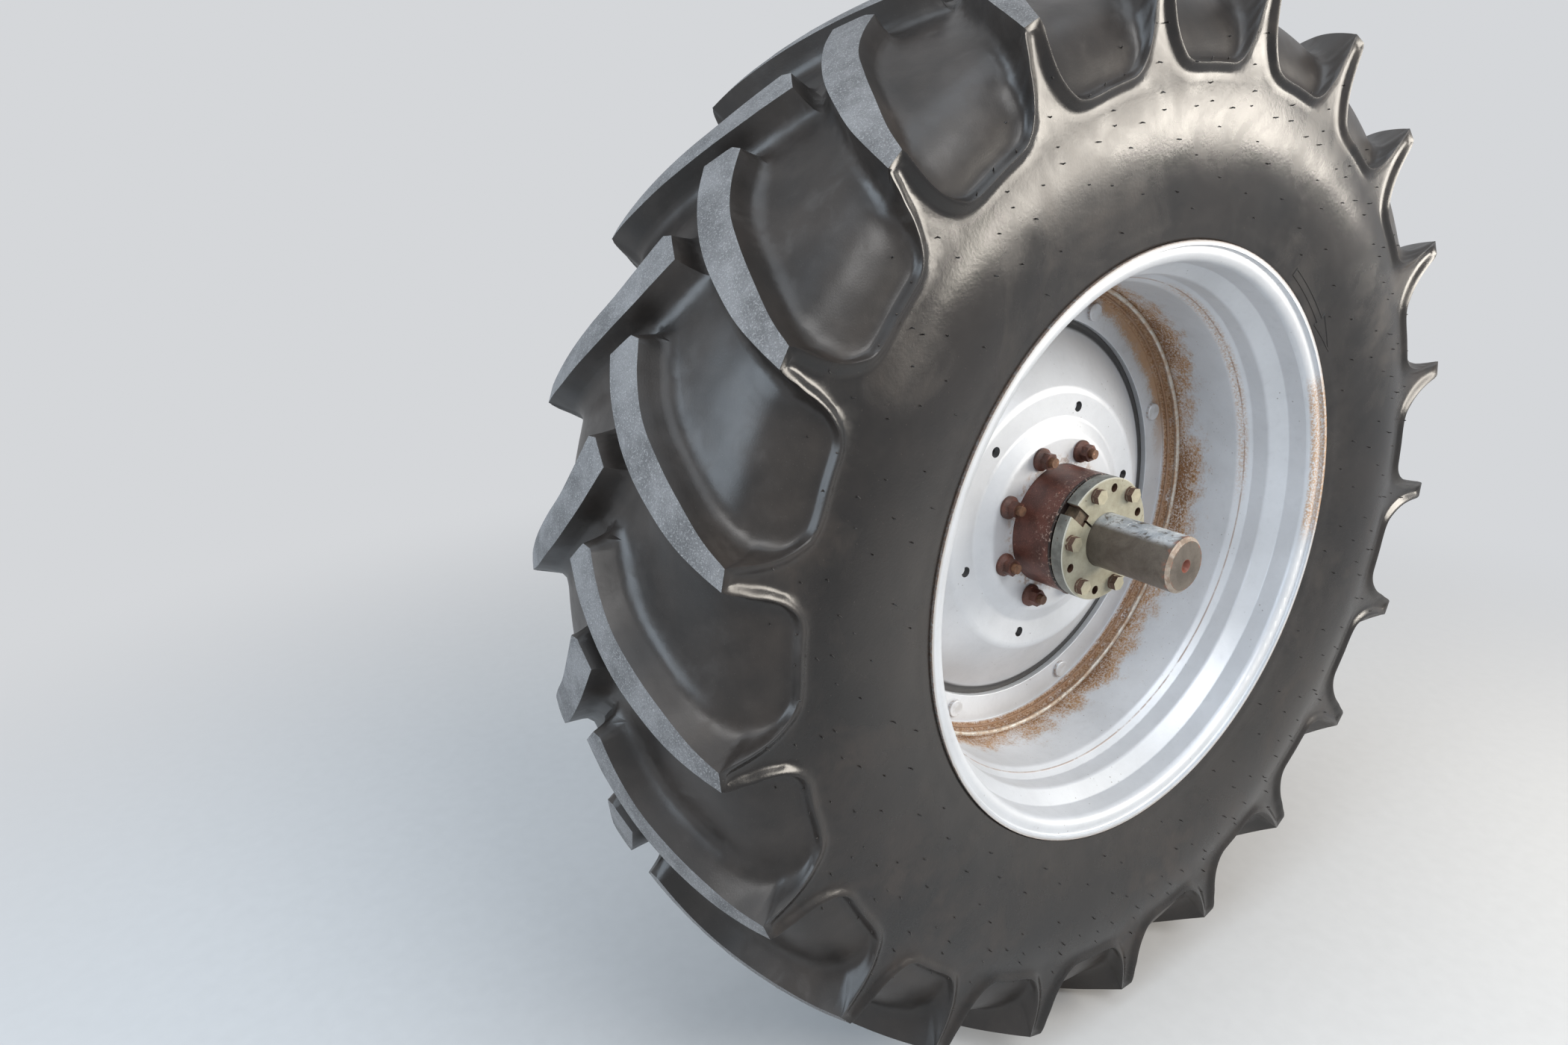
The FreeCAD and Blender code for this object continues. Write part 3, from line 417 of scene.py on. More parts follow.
def tread_mesh():
    """Vertices (mm, wheel frame), faces and the face kinds of the whole tread down to the side walls."""
    pattern = Pattern(7.0)
    rng = random.Random(7)
    # Generator points of one pitch: plane place, side, and the edges that must be kept
    points, edges, near_creases = [], [], []

    def add_line(side, line, offset, closed):
        first = len(points)
        for s, turn in line:
            points.append((side, s, turn + offset))
        count = len(line)
        edges.extend((first + i, first + (i + 1) % count) for i in range(count if closed else count - 1))

    for side, offset in ((-1, 0.0), (1, PITCH / 2)):
        add_line(side, pattern.lug, offset, True)
        add_line(side, pattern.lip[1:-1], offset, False)
        base = len(points)
        # The lip starts at this lug's tip and ends at the next lug's tip
        points.append((side, pattern.lip[0][0] + 3.0, pattern.lip[0][1] + offset))
        edges.append((base, base - len(pattern.lip) + 2))
        # The creases that run down from a nose's corners
        for crease in CREASES:
            corner = [i for i, (one, at, turn) in enumerate(points)
                      if one == side and abs(at - crease[0][0]) < 0.01 and abs(turn - offset - crease[0][1]) < 0.001][0]
            line = densely(crease, 6.0)[1:]
            first = len(points)
            points.extend((side, at, turn + offset) for at, turn in line)
            edges.extend((i, i + 1) for i in range(first, first + len(line) - 1))
            edges.append((corner, first))
            for (s0, t0), (s1, t1) in zip(line, line[1:]):
                way = np.array([s1 - s0, (t1 - t0) * 16.0])
                way /= np.linalg.norm(way)
                for gap in (-8.0, -3.5, 3.5, 8.0):
                    near_creases.append((side, s0 - way[1] * gap, t0 + way[0] * gap / 16.0 + offset))
    columns = 15
    border = []
    for side in (-1, 1):
        border.append(len(points))
        points += [(side, SECTION_END, PITCH * i / columns) for i in range(columns)]
    fixed = np.array([plane(side, [s], [turn])[0] for side, s, turn in points])

    # Rows of points beside the outlines, then a loose fill
    def offsets(line_points, closed, gaps, spaces):
        a, b = segments(line_points, closed)
        way = (b - a) / np.maximum(np.linalg.norm(b - a, axis=1), 1e-9)[:, None]
        before = np.roll(way, 1, axis=0)
        if not closed:
            before[0] = way[0]
        way = way + before
        way /= np.maximum(np.linalg.norm(way, axis=1), 1e-9)[:, None]
        normal = np.stack([way[:, 1], -way[:, 0]], 1)
        rows = []
        for gap, space in zip(gaps, spaces):
            for sign in (-1, 1):
                rows += [(p, gap, space) for p in a + normal * gap * sign]
        return rows

    rows = []
    for side, offset in ((-1, 0.0), (1, PITCH / 2)):
        lug = plane(side, pattern.lug[:, 0], pattern.lug[:, 1] + offset)
        lip = plane(side, pattern.lip[:, 0], pattern.lip[:, 1] + offset)
        rows += offsets(lug, True, (1.2, 4.0, 7.0, 10.5, 15.0, 21.0, 29.0), (1.5, 2.0, 2.8, 3.4, 4.5, 6.0, 8.0))
        rows += offsets(lip, False, (1.8, 4.5, 7.5, 10.2, 12.5, 17.0, 24.0), (1.4, 2.1, 2.6, 2.5, 2.2, 4.3, 6.5))
    cand = np.array([p for p, _, _ in rows])
    wanted = np.array([g for _, g, _ in rows])
    need = np.array([space for _, _, space in rows])
    top, pocket, lug_gap, lip_gap = pattern.fields(cand)
    real = np.minimum(lug_gap, lip_gap)
    keep = np.abs(real - wanted) < 0.12 * wanted + 0.15
    keep &= ~(top & (wanted > 1.5))
    keep &= np.abs(cand[:, 0]) < SECTION_END - 6
    cand, wanted, need = cand[keep], wanted[keep], need[keep]
    order = np.argsort(wanted, kind="stable")
    cand, need = cand[order], need[order]

    def wrapped(p):
        """The same place in the near pitches."""
        shift = PITCH * float(scale_at(p[0]))
        return [(p[0], p[1] + k * shift) for k in range(-3, 4) if -0.5 * shift < p[1] + k * shift < 1.5 * shift]

    taken = []
    for p in fixed:
        taken += wrapped(p)
    chosen = []
    grid_points = [(tuple(plane(side, [at], [turn])[0]), 2.4) for side, at, turn in near_creases]
    grid_points = [p for p, (gap, is_top) in zip(grid_points, zip(*(lambda f: (f[2], f[0]))(
        pattern.fields(np.array([q for q, _ in grid_points]))))) if gap > 2 and not is_top]
    grid_points += [(tuple(p), g) for p, g in zip(cand, need)]
    fill = []
    spacing = 15.0
    low, high = -30.0, PITCH * 16.2 + 330.0
    for i in range(int(-SECTION_END // spacing) - 1, int(SECTION_END // spacing) + 2):
        for j in range(int(low // spacing), int(high // spacing)):
            x = i * spacing + rng.uniform(-1.5, 1.5)
            y = (j + 0.5 * (i % 2)) * spacing + rng.uniform(-1.5, 1.5)
            if abs(x) < SECTION_END - 9:
                fill.append(((x, y), 10.5))
    cell = 12.0
    grid = {}

    def book(p):
        grid.setdefault((int(p[0] // cell), int(p[1] // cell)), []).append(p)

    for p in taken:
        book(p)
    for (x, y), gap in grid_points + fill:
        turn = y / float(scale_at(abs(x)))
        turn = turn % PITCH
        y = turn * float(scale_at(abs(x)))
        ci, cj = int(x // cell), int(y // cell)
        near = (q for i in (ci - 1, ci, ci + 1) for j in (cj - 1, cj, cj + 1) for q in grid.get((i, j), ()))
        if all((x - q[0]) ** 2 + (y - q[1]) ** 2 > gap * gap for q in near):
            chosen.append((x, y, turn))
            for q in wrapped((x, y)):
                book(q)
    generator = list(points)
    for x, y, turn in chosen:
        generator.append((-1 if x < 0 else 1, abs(x), turn))
    gen_plane = np.array([[side * s, 0] for side, s, _ in generator])
    gen_turn = np.array([turn for _, _, turn in generator])
    gen_scale = scale_at(gen_plane[:, 0])
    # Neighbouring pitches in a plane of even scale, so that each is joined up in the same way
    count = len(generator)
    copies = range(-3, 5)
    nudge = np.array([(rng.uniform(-0.04, 0.04), rng.uniform(-0.04, 0.04)) for _ in range(count)])
    nudge[:len(points)] = 0
    coords = np.concatenate([np.stack([gen_plane[:, 0], (gen_turn + PITCH * k) * EVEN_SCALE], 1) + nudge
                             for k in copies])
    links = []
    for k in range(len(copies)):
        links += [(a + k * count, b + k * count) for a, b in edges]
        for first in border:
            links += [(first + i + k * count, first + i + 1 + k * count) for i in range(columns - 1)]
            if k + 1 < len(copies):
                links.append((first + columns - 1 + k * count, first + (k + 1) * count))
    verts, _, faces, origin, _, _ = delaunay_2d_cdt([Vector(c) for c in coords], links, [], 0, 0.01)
    source = [o[0] if o else None for o in origin]
    picked = []
    lost = 0
    for face in faces:
        ids = [source[v] for v in face]
        if None in ids:
            lost += 1
            continue
        owner = [i // count + copies[0] for i in ids]
        if min(owner) == 0:
            picked.append([(i % count, o) for i, o in zip(ids, owner)])
    print("tread: generators", count, "faces a pitch", len(picked), "lost", lost)
    # Heights
    flat = np.stack([gen_plane[:, 0], gen_turn * gen_scale], 1)
    centre_shift = np.floor((gen_turn) / PITCH) * PITCH
    flat = np.stack([gen_plane[:, 0], (gen_turn - centre_shift) * gen_scale], 1)
    top, pocket, lug_gap, lip_gap = pattern.fields(flat)
    s = np.abs(gen_plane[:, 0])
    crest = np.stack([curve_at(SECTION, 1, s), curve_at(SECTION, 2, s)], 1)
    wall = np.stack([curve_at(SECTION, 3, s), curve_at(SECTION, 4, s)], 1)
    floor = np.stack([curve_at(SECTION, 5, s), curve_at(SECTION, 6, s)], 1)
    on_edge = lug_gap < 0.05
    on_lip = lip_gap < 0.05
    groove = np.maximum(steps(GROOVE, lug_gap), nose_share(flat))
    dip = steps(POCKET, lip_gap)
    share = np.where(s > 264, np.maximum(dip, groove * np.clip((300 - s) / 36, 0, 1)), np.maximum(groove, dip * (s > 250)))
    low = ~(top | on_edge) & ((s < 262) | pocket) & ~on_lip
    body = np.where(low[:, None], floor + (crest - floor) * share[:, None], crest)
    side_zone = ~low & (s > 262.5)
    lip_share = steps(LIP_BACK, np.minimum(lip_gap, np.where(s < 275, lug_gap, 1e9)))
    body = np.where(side_zone[:, None], wall + (crest - wall) * lip_share[:, None], body)
    # The worn edge of a lug's top
    edge_drop = np.where(top & (s < 262), 0.9 * np.clip(1 - lug_gap / 2.2, 0, 1) ** 2, 0.0)
    edge_drop = np.where(on_edge & (s < 262), 0.9, edge_drop)
    body[:, 1] -= edge_drop
    body[:, 1] = np.minimum(body[:, 1], CROWN_TOP * 1000)
    side_sign = np.sign(gen_plane[:, 0])
    side_sign[side_sign == 0] = 1
    # Kind of each face: 0 lug top, 1 gloss, 2 side wall
    kinds = []
    middle = np.array([[np.mean([coords_of[0] for coords_of in
                                 [(flat[g][0], (gen_turn[g] + PITCH * o) * gen_scale[g]) for g, o in face]]),
                        np.mean([coords_of[1] for coords_of in
                                 [(flat[g][0], (gen_turn[g] + PITCH * o) * gen_scale[g]) for g, o in face]])]
                       for face in picked])
    m_top, m_pocket, _, m_lip = pattern.fields(middle)
    for (x, _), in_top, in_pocket, gap in zip(middle, m_top, m_pocket, m_lip):
        if in_top and abs(x) < 263:
            kinds.append(0)
        elif abs(x) < 263 or in_pocket:
            kinds.append(1)
        else:
            kinds.append(2)
    # All pitches
    vertices = []
    for p in range(PITCHES):
        angle = np.radians(gen_turn + 170.4 + p * PITCH)
        vertices.append(np.stack([body[:, 1] * np.cos(angle), side_sign * body[:, 0], body[:, 1] * np.sin(angle)], 1))
    vertices = np.concatenate(vertices)
    out_faces, out_kinds = [], []
    for p in range(PITCHES):
        for face, kind in zip(picked, kinds):
            ids = [((p + o) % PITCHES) * count + g for g, o in face]
            out_faces.append(ids)
            out_kinds.append(kind)
    rings = [[(p * count) + first + i for p in range(PITCHES) for i in range(columns)] for first in border]
    return vertices, out_faces, out_kinds, rings


def tyre_object():
    vertices, faces, kinds, rings = tread_mesh()
    vertices = list(map(tuple, vertices))
    ends = []
    for side, ring in zip((-1, 1), rings):
        angles = [math.atan2(vertices[i][2], vertices[i][0]) for i in ring]
        last = ring
        for r, y in WALL[1:] + LINING:
            here = len(vertices)
            vertices += [(r * math.cos(a), side * y, r * math.sin(a)) for a in angles]
            row = list(range(here, here + len(ring)))
            n = len(ring)
            for i in range(n):
                faces.append([last[i], last[(i + 1) % n], row[(i + 1) % n], row[i]])
                kinds.append(2)
            last = row
        ends.append(last)
    out, into = ends
    for i in range(len(out)):
        faces.append([out[i], out[(i + 1) % len(out)], into[(i + 1) % len(out)], into[i]])
        kinds.append(2)
    mesh = bpy.data.meshes.new("tyre_rubber")
    mesh.from_pydata([(x / 1000, y / 1000 + WHEEL_Y, z / 1000) for x, y, z in vertices], [], faces)
    mesh.validate()
    import bmesh
    work = bmesh.new()
    work.from_mesh(mesh)
    bmesh.ops.recalc_face_normals(work, faces=work.faces)
    open_edges = sum(1 for e in work.edges if len(e.link_faces) != 2)
    work.to_mesh(mesh)
    work.free()
    print("tyre: verts", len(mesh.vertices), "faces", len(mesh.polygons), "open edges", open_edges)
    mesh.polygons.foreach_set("material_index", kinds)
    mesh.polygons.foreach_set("use_smooth", [True] * len(mesh.polygons))
    mesh.set_sharp_from_angle(angle=math.radians(38))
    made = bpy.data.objects.new("tyre_rubber", mesh)
    bpy.context.scene.collection.objects.link(made)
    return made


def joined(name, pieces, body, slot, paint, smooth=True):
    """One mesh from (vertices in metres, faces) pieces, riding on a body."""
    vertices, faces = [], []
    for places, loops in pieces:
        faces += [[len(vertices) + i for i in loop] for loop in loops]
        vertices += places
    mesh = bpy.data.meshes.new(name)
    mesh.from_pydata(vertices, [], faces)
    mesh.polygons.foreach_set("use_smooth", [smooth] * len(mesh.polygons))
    mesh.materials.append(paint)
    made = bpy.data.objects.new(name, mesh)
    bpy.context.scene.collection.objects.link(made)
    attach(made, body)
    return made


def lofted(rings, cap_last=False):
    """Quads between closed rings of equal count."""
    count = len(rings[0])
    faces = [[r * count + i, r * count + (i + 1) % count, (r + 1) * count + (i + 1) % count, (r + 1) * count + i]
             for r in range(len(rings) - 1) for i in range(count)]
    if cap_last:
        faces.append([(len(rings) - 1) * count + i for i in range(count)])
    return [tuple(p) for ring in rings for p in ring], faces


# Vent nibs of one pitch: radius in mm and turn from the lug's nose
NIBS = ((757, 3.9), (757, 7.1), (756, 10.5), (724, 7.1), (704, 7.1), (695, 2.6), (696, 10.3), (760, 15.9), (722, 16.0),
        (700, 16.1), (668, 5.0), (655, 13.2), (632, 9.1), (598, 2.4), (583, 11.6), (556, 6.8), (806, 14.6), (790, 3.0))


def nibs(tyre):
    """Short rubber hairs left by the mould's vents, on both sides of the tyre."""
    mesh = tyre.data
    tree = BVHTree.FromPolygons([v.co for v in mesh.vertices], [tuple(f.vertices) for f in mesh.polygons])
    rng = random.Random(11)
    pieces = []
    for side, offset in ((-1, 0.0), (1, PITCH / 2)):
        for pitch in range(PITCHES):
            for r, turn in NIBS:
                angle = math.radians(170.4 + (pitch * PITCH) + turn + 17.143 + offset + rng.uniform(-0.25, 0.25))
                r_now = (r + rng.uniform(-2, 2)) / 1000
                start = Vector((r_now * math.cos(angle), WHEEL_Y + side * 0.4, r_now * math.sin(angle)))
                place, normal, _, _ = tree.ray_cast(start, Vector((0, -side, 0)))
                if place is None or rng.random() < 0.12:
                    continue
                if normal.y * side < 0:
                    normal = -normal
                lean = Vector((rng.uniform(-1, 1), 0, rng.uniform(-1, 1))) * 0.35
                along = (normal + lean).normalized()
                wide = along.orthogonal().normalized()
                deep = along.cross(wide)
                long = rng.uniform(0.0025, 0.0055)
                rings = []
                for share, thick in ((-0.25, 0.0014), (0.12, 0.0011), (0.75, 0.0009), (1.0, 0.0005)):
                    middle = place + along * (long * share)
                    rings.append([middle + (wide * math.cos(t) + deep * math.sin(t)) * thick
                                  for t in (math.pi / 3 * i for i in range(6))])
                pieces.append(lofted(rings, True))
    return pieces


# Outline of the turning arrow on the side wall: radius in mm and angle
ARROW = ((527, 56.0), (527, 41.5), (520, 41.5), (533, 33.5), (546, 41.5), (539, 41.5), (539, 56.0))


def arrow():
    """A raised line round a plain arrow that shows the driving turn."""
    wall = [(r, y) for r, y in WALL][::-1]
    radii, depths = [row[0] for row in wall], [row[1] for row in wall]
    line = []
    for (r0, t0), (r1, t1) in zip(ARROW, ARROW[1:] + ARROW[:1]):
        count = max(1, round(math.hypot(r1 - r0, (t1 - t0) * 9.3) / 5.0))
        line += [(r0 + (r1 - r0) * i / count, t0 + (t1 - t0) * i / count) for i in range(count)]
    flat = [Vector((r * math.cos(math.radians(t)), r * math.sin(math.radians(t)))) for r, t in line]
    rings = []
    for before, here, after in zip(flat[-1:] + flat[:-1], flat, flat[1:] + flat[:1]):
        into, out = (here - before).normalized(), (after - here).normalized()
        across = Vector((-(into + out).y, (into + out).x)).normalized()
        reach = 1 / max(0.5, across.dot(Vector((-into.y, into.x))))
        ring = []
        for shift, rise in ((-1.7, -0.6), (-1.0, 1.1), (1.0, 1.1), (1.7, -0.6)):
            spot = here + across * shift * reach
            y = -(float(np.interp(spot.length, radii, depths)) + rise)
            ring.append((spot.x / 1000, y / 1000 + WHEEL_Y, spot.y / 1000))
        rings.append(ring)
    count = len(rings)
    faces = [[r * 4 + i, r * 4 + i + 1, (r + 1) % count * 4 + i + 1, (r + 1) % count * 4 + i]
             for r in range(count) for i in range(3)]
    return [([p for ring in rings for p in ring], faces)]


# Weld between ring and rim: radius, depth and size of its two runs, in mm
WELDS = ((421.8, 40.6, 2.4), (430.4, 26.0, 4.6))


def welds():
    """Two runs of rippled weld laid in the corner, uneven in width and place."""
    pieces = []
    rng = random.Random(5)
    for radius, depth, size in WELDS:
        waves = [(rng.randint(3, 40), rng.uniform(0, 6.3), rng.uniform(0.1, 0.35)) for _ in range(9)]
        rings = []
        count = 720
        for i in range(count):
            turn = 2 * math.pi * i / count
            sway = sum(a * math.sin(n * turn + f) for n, f, a in waves)
            ripple = 0.45 * abs(math.sin(turn * 210)) + rng.uniform(-0.12, 0.12)
            ring = []
            for k in range(7):
                way = math.pi * (k / 6 - 0.5) + math.radians(208)
                r = radius + sway * 0.5 + (size + ripple) * math.cos(way)
                y = depth + sway * 0.4 + (size + ripple) * math.sin(way)
                ring.append((r * math.cos(turn) / 1000, y / 1000 + WHEEL_Y, r * math.sin(turn) / 1000))
            rings.append(ring)
        faces = [[r * 7 + k, r * 7 + k + 1, (r + 1) % count * 7 + k + 1, (r + 1) % count * 7 + k]
                 for r in range(count) for k in range(6)]
        pieces.append(([p for ring in rings for p in ring], faces))
    return pieces


def rubber_top():
    p = Paint("rubber_lug_top", Roughness=0.9, Specular_IOR_Level=0.4)
    wear_and_shading = p.noise(14, 5, 0.62)
    patch = p.noise(55, 4, 0.6)
    grain = p.noise(430, 3, 0.7)
    fine = p.noise(1000, 2, 0.7)
    colour = p.mix(p.span(wear_and_shading, 0.33, 0.68), (0.125, 0.122, 0.122), (0.225, 0.22, 0.22))
    colour = p.mix(p.part(p.span(patch, 0.45, 0.7), 0.35), colour, (0.25, 0.246, 0.244))
    colour = p.mix(p.part(p.span(grain, 0.5, 0.7), 0.75), colour, (0.4, 0.395, 0.39))
    colour = p.mix(p.part(p.span(fine, 0.47, 0.3), 0.45), colour, (0.055, 0.055, 0.057))
    return p.finish(colour, bumps=((patch, 0.0015), (grain, 0.0013), (fine, 0.0005)))


def rubber_groove():
    p = Paint("rubber_groove")
    cloud = p.noise(8, 5, 0.6)
    film = p.noise(26, 5, 0.6, twist=0.6)
    speck = p.span(p.cells(160), 0.12, 0.05)
    colour = p.mix(p.span(cloud, 0.3, 0.72), (0.013, 0.0108, 0.0095), (0.034, 0.0275, 0.0235))
    dust = p.both(p.span(film, 0.48, 0.75), p.span(cloud, 0.42, 0.68))
    colour = p.mix(p.part(dust, 0.35), colour, (0.07, 0.063, 0.057))
    colour = p.mix(p.part(speck, 0.3), colour, (0.1, 0.093, 0.085))
    rough = p.blend(dust, p.level(film, 0.3, 0.46), 0.6)
    return p.finish(colour, rough, bumps=((p.noise(7, 2), 0.006), (p.noise(420, 3), 0.00012)))


def rubber_side():
    p = Paint("rubber_side_wall")
    cloud = p.noise(6, 5, 0.6)
    film = p.noise(30, 5, 0.62, twist=0.5)
    peel = p.noise(240, 3, 0.6)
    wipe = p.noise(5, 5, 0.6, twist=0.8)
    speck = p.span(p.cells(95), 0.1, 0.04)
    colour = p.mix(p.span(cloud, 0.3, 0.7), (0.006, 0.0052, 0.005), (0.0155, 0.0125, 0.011))
    colour = p.mix(p.part(p.both(p.span(wipe, 0.5, 0.72), p.span(film, 0.3, 0.6)), 0.45), colour, (0.046, 0.034, 0.027))
    bead = p.both(p.span(p.radius, 0.6, 0.54), p.span(film, 0.25, 0.6))
    colour = p.mix(p.part(bead, 0.4), colour, (0.028, 0.024, 0.021))
    colour = p.mix(p.part(speck, 0.3), colour, (0.12, 0.1, 0.085))
    rough = p.blend(p.span(wipe, 0.42, 0.68), p.level(film, 0.17, 0.27), 0.36)
    return p.finish(colour, rough, bumps=((p.noise(4, 2), 0.004), (p.noise(22, 3), 0.0004), (peel, 0.00013)))


def silver(name, colour, stains, painted_gap_shade=None):
    """Silver paint; stains(p) gives masks of dark rust, light rust and grime (by the disc's edge also painted shade),
    the last argument one of near-black painted shade in gaps.
    """
    p = Paint(name, Metallic=0.35)
    cloud = p.noise(5, 5, 0.6)
    fine = p.noise(60, 5, 0.62, twist=0.3)
    flake = p.noise(1400, 2, 0.6)
    low, high = (tuple(c * k for c in colour) for k in (0.88, 1.04))
    shade = p.mix(p.span(cloud, 0.3, 0.7), low, high)
    shade = p.mix(p.part(p.span(fine, 0.5, 0.8), 0.25), shade, tuple(c * 0.72 for c in colour))
    shade = p.mix(p.part(p.span(flake, 0.4, 0.75), 0.12), shade, (0.85, 0.86, 0.88))
    specks = p.both(p.span(p.cells(70), 0.13, 0.05), p.span(p.noise(9, 3), 0.5, 0.7))
    shade = p.mix(p.part(specks, 0.7), shade, (0.09, 0.075, 0.06))
    dark, light, grime = stains(p)
    shade = p.mix(grime, shade, (0.22, 0.18, 0.135))
    shade = p.mix(light, shade, p.mix(fine, (0.3, 0.142, 0.05), (0.5, 0.3, 0.135)))
    shade = p.mix(dark, shade, p.mix(p.noise(300, 3), (0.13, 0.055, 0.022), (0.34, 0.165, 0.062)))
    # Near-black painted shade in the gaps and bores
    if painted_gap_shade:
        shade = p.mix(p.part(painted_gap_shade(p), 0.93), shade, (0.03, 0.027, 0.025))
    rusted = p.either(dark, light, p.part(grime, 0.6))
    rough = p.blend(rusted, p.level(fine, 0.34, 0.48), 0.82)
    metal = p.blend(rusted, 0.3, 0.0)
    return p.finish(shade, rough, metal, bumps=((fine, 0.0003), (p.part(dark, 1.0), 0.0004), (flake, 0.00003)))


def rim_stains(p):
    speckle = p.noise(240, 6, 0.8)
    patch = p.noise(34, 5, 0.68)
    cloud = p.noise(6, 4, 0.6)
    # Rust that is dense at the weld and thins out over the floor of the well
    reach = p.sum("ADD", p.sum("MULTIPLY", p.span(p.depth, -0.085, 0.026), 0.42), p.sum("MULTIPLY", p.span(cloud, 0.35, 0.62), 0.16))
    rise = p.sum("ADD", p.sum("ADD", p.sum("MULTIPLY", speckle, 0.5), p.sum("MULTIPLY", patch, 0.5)), reach)
    floor = p.span(p.radius, 0.4415, 0.4385)
    light = p.both(floor, p.span(rise, 0.74, 1.0), p.span(speckle, 0.3, 0.56))
    dark = p.both(floor, p.span(p.sum("ADD", p.part(speckle, 1.0), reach), 0.98, 1.09))
    dots = p.both(p.span(p.cells(120), 0.15, 0.06), p.span(p.depth, -0.14, -0.03), p.span(patch, 0.4, 0.6))
    # Thin rusty line along the step, and the worn edge of the lip
    line = p.both(p.band(p.depth, -0.1168, -0.1158, 0.0012), p.span(patch, 0.3, 0.55))
    lip = p.both(p.span(p.depth, -0.2315, -0.2345), p.span(p.radius, 0.5065, 0.508), p.span(speckle, 0.38, 0.56))
    dark = p.either(dark, p.part(line, 0.6), p.part(lip, 0.7), p.part(dots, 0.75))
    upper = p.both(p.band(p.turn, 0.03, 0.17, 0.05), p.band(p.depth, -0.1165, -0.111, 0.009), p.span(speckle, 0.42, 0.6))
    side = p.both(p.band(p.turn, -0.01, 0.07, 0.02), p.span(p.depth, -0.2265, -0.2315), p.span(speckle, 0.42, 0.56))
    light = p.either(light, p.part(side, 0.85), p.part(upper, 0.7))
    grime = p.part(p.both(p.span(p.depth, -0.12, 0.01), p.span(p.noise(12, 5), 0.45, 0.75)), 0.22)
    brushed = p.both(p.span(p.depth, -0.2315, -0.2345), p.span(p.radius, 0.502, 0.506), p.span(cloud, 0.1, 0.6))
    return dark, light, p.either(grime, p.part(brushed, 0.5))


def ring_stains(p):
    speckle = p.noise(240, 6, 0.8)
    patch = p.noise(30, 5, 0.68)
    cloud = p.noise(6, 4, 0.6)
    root = p.span(p.radius, 0.4145, 0.418)
    front = p.span(p.depth, 0.0515, 0.0485)
    dark = p.both(root, front, p.span(speckle, 0.44, 0.58))
    # A stain that spreads over the face beside the weld, on the upper side that is turned from the lamp
    aloft = p.both(p.span(p.turn, 0.0, 0.07), p.span(p.turn, 0.34, 0.22))
    reach = p.sum("ADD", p.sum("MULTIPLY", p.span(p.radius, 0.372, 0.416), 0.4), p.sum("MULTIPLY", p.span(cloud, 0.35, 0.62), 0.12))
    rise = p.sum("ADD", p.sum("ADD", p.sum("MULTIPLY", speckle, 0.4), p.sum("MULTIPLY", patch, 0.6)), reach)
    face = p.both(aloft, p.span(p.depth, 0.06, 0.054), p.span(rise, 0.68, 0.95))
    light = p.either(p.part(face, 0.8), p.part(p.both(root, front, p.span(patch, 0.25, 0.5)), 0.8))
    return dark, light, p.part(p.both(aloft, p.span(rise, 0.5, 0.9)), 0.3)


def weld_stains(p):
    speckle = p.noise(240, 5, 0.74)
    cloud = p.noise(5, 4, 0.6)
    inner = p.span(p.radius, 0.4265, 0.4255)
    dark = p.either(p.both(p.span(speckle, 0.54, 0.66), p.span(cloud, 0.3, 0.6)), p.part(inner, 0.8))
    light = p.part(p.span(p.noise(70, 4), 0.42, 0.62), 0.5)
    return dark, light, p.part(p.span(cloud, 0.35, 0.65), 0.2)


def disc_stains(p):
    cloud = p.noise(6, 5, 0.6)
    # Grime and painted shade of the gap, towards the ring's edge
    edge = p.both(p.span(p.radius, 0.34, 0.362), p.span(cloud, 0.3, 0.6))
    holes = p.both(p.span(p.radius, 0.135, 0.118), p.span(p.noise(80, 5, 0.7), 0.45, 0.65))
    return p.part(holes, 0.5), p.part(holes, 0.3), p.part(edge, 0.35)


def disc_gap_shade(p):
    """Painted shade: the disc's edge beside the ring, and the walls of its bolt holes and small holes."""
    side = p.span(p.sum("ABSOLUTE", p.facing), 0.5, 0.2)
    edge = p.either(p.both(p.span(p.radius, 0.343, 0.3505), p.span(p.depth, 0.03, 0.05)), p.span(p.radius, 0.3515, 0.353))
    return p.either(edge, p.both(side, p.span(p.radius, 0.25, 0.24), p.span(p.radius, 0.1, 0.13)))


def bolt_stains(p):
    rims = p.both(p.span(p.facing, -0.6, -0.2), p.span(p.noise(200, 4, 0.7), 0.45, 0.6))
    return p.part(rims, 0.35), p.part(rims, 0.3), p.part(p.span(p.noise(40, 4), 0.45, 0.7), 0.3)


def rust(name, dark, middle, light, scale=60, rough=(0.42, 0.85), wear_and_shading=0.0):
    """Rusted iron: three shades in blotches, speckle and fine scratches round the axle."""
    p = Paint(name, Specular_IOR_Level=0.5)
    cloud = p.noise(scale * 0.45, 5, 0.65)
    speckle = p.noise(scale * 9, 4, 0.7)
    scratch = p.noise(260, 3, 0.6, where=p.wrapped(1.0, 0.12))
    shade = p.mix(p.span(cloud, 0.32, 0.66), dark, middle)
    shade = p.mix(p.part(p.span(speckle, 0.5, 0.72), 0.6), shade, light)
    shade = p.mix(p.both(p.span(scratch, 0.66, 0.72), p.span(cloud, 0.42, 0.6)), shade,
                  tuple(min(1.0, c * 2.1) for c in light))
    if wear_and_shading:
        # Pale wear and dark pits towards the outboard edge, and a near-black band of painted shade along the edge
        # itself
        chips = p.both(p.span(p.noise(140, 5, 0.72), 0.56, 0.62), p.span(p.depth, wear_and_shading + 0.05, wear_and_shading + 0.005),
                       p.span(p.radius, 0.1, 0.106))
        pits = p.both(p.span(p.noise(55, 5, 0.7), 0.6, 0.68), p.span(p.depth, wear_and_shading + 0.07, wear_and_shading))
        shade = p.mix(p.part(pits, 0.8), shade, (0.025, 0.014, 0.012))
        shade = p.mix(p.part(p.span(p.depth, wear_and_shading + 0.0045, wear_and_shading + 0.0025), 0.95), shade, (0.012, 0.009, 0.008))
        shade = p.mix(p.part(chips, 0.75), shade, (0.5, 0.38, 0.32))
    return p.finish(shade, p.level(speckle, *rough), bumps=((cloud, 0.0006), (speckle, 0.0004)))


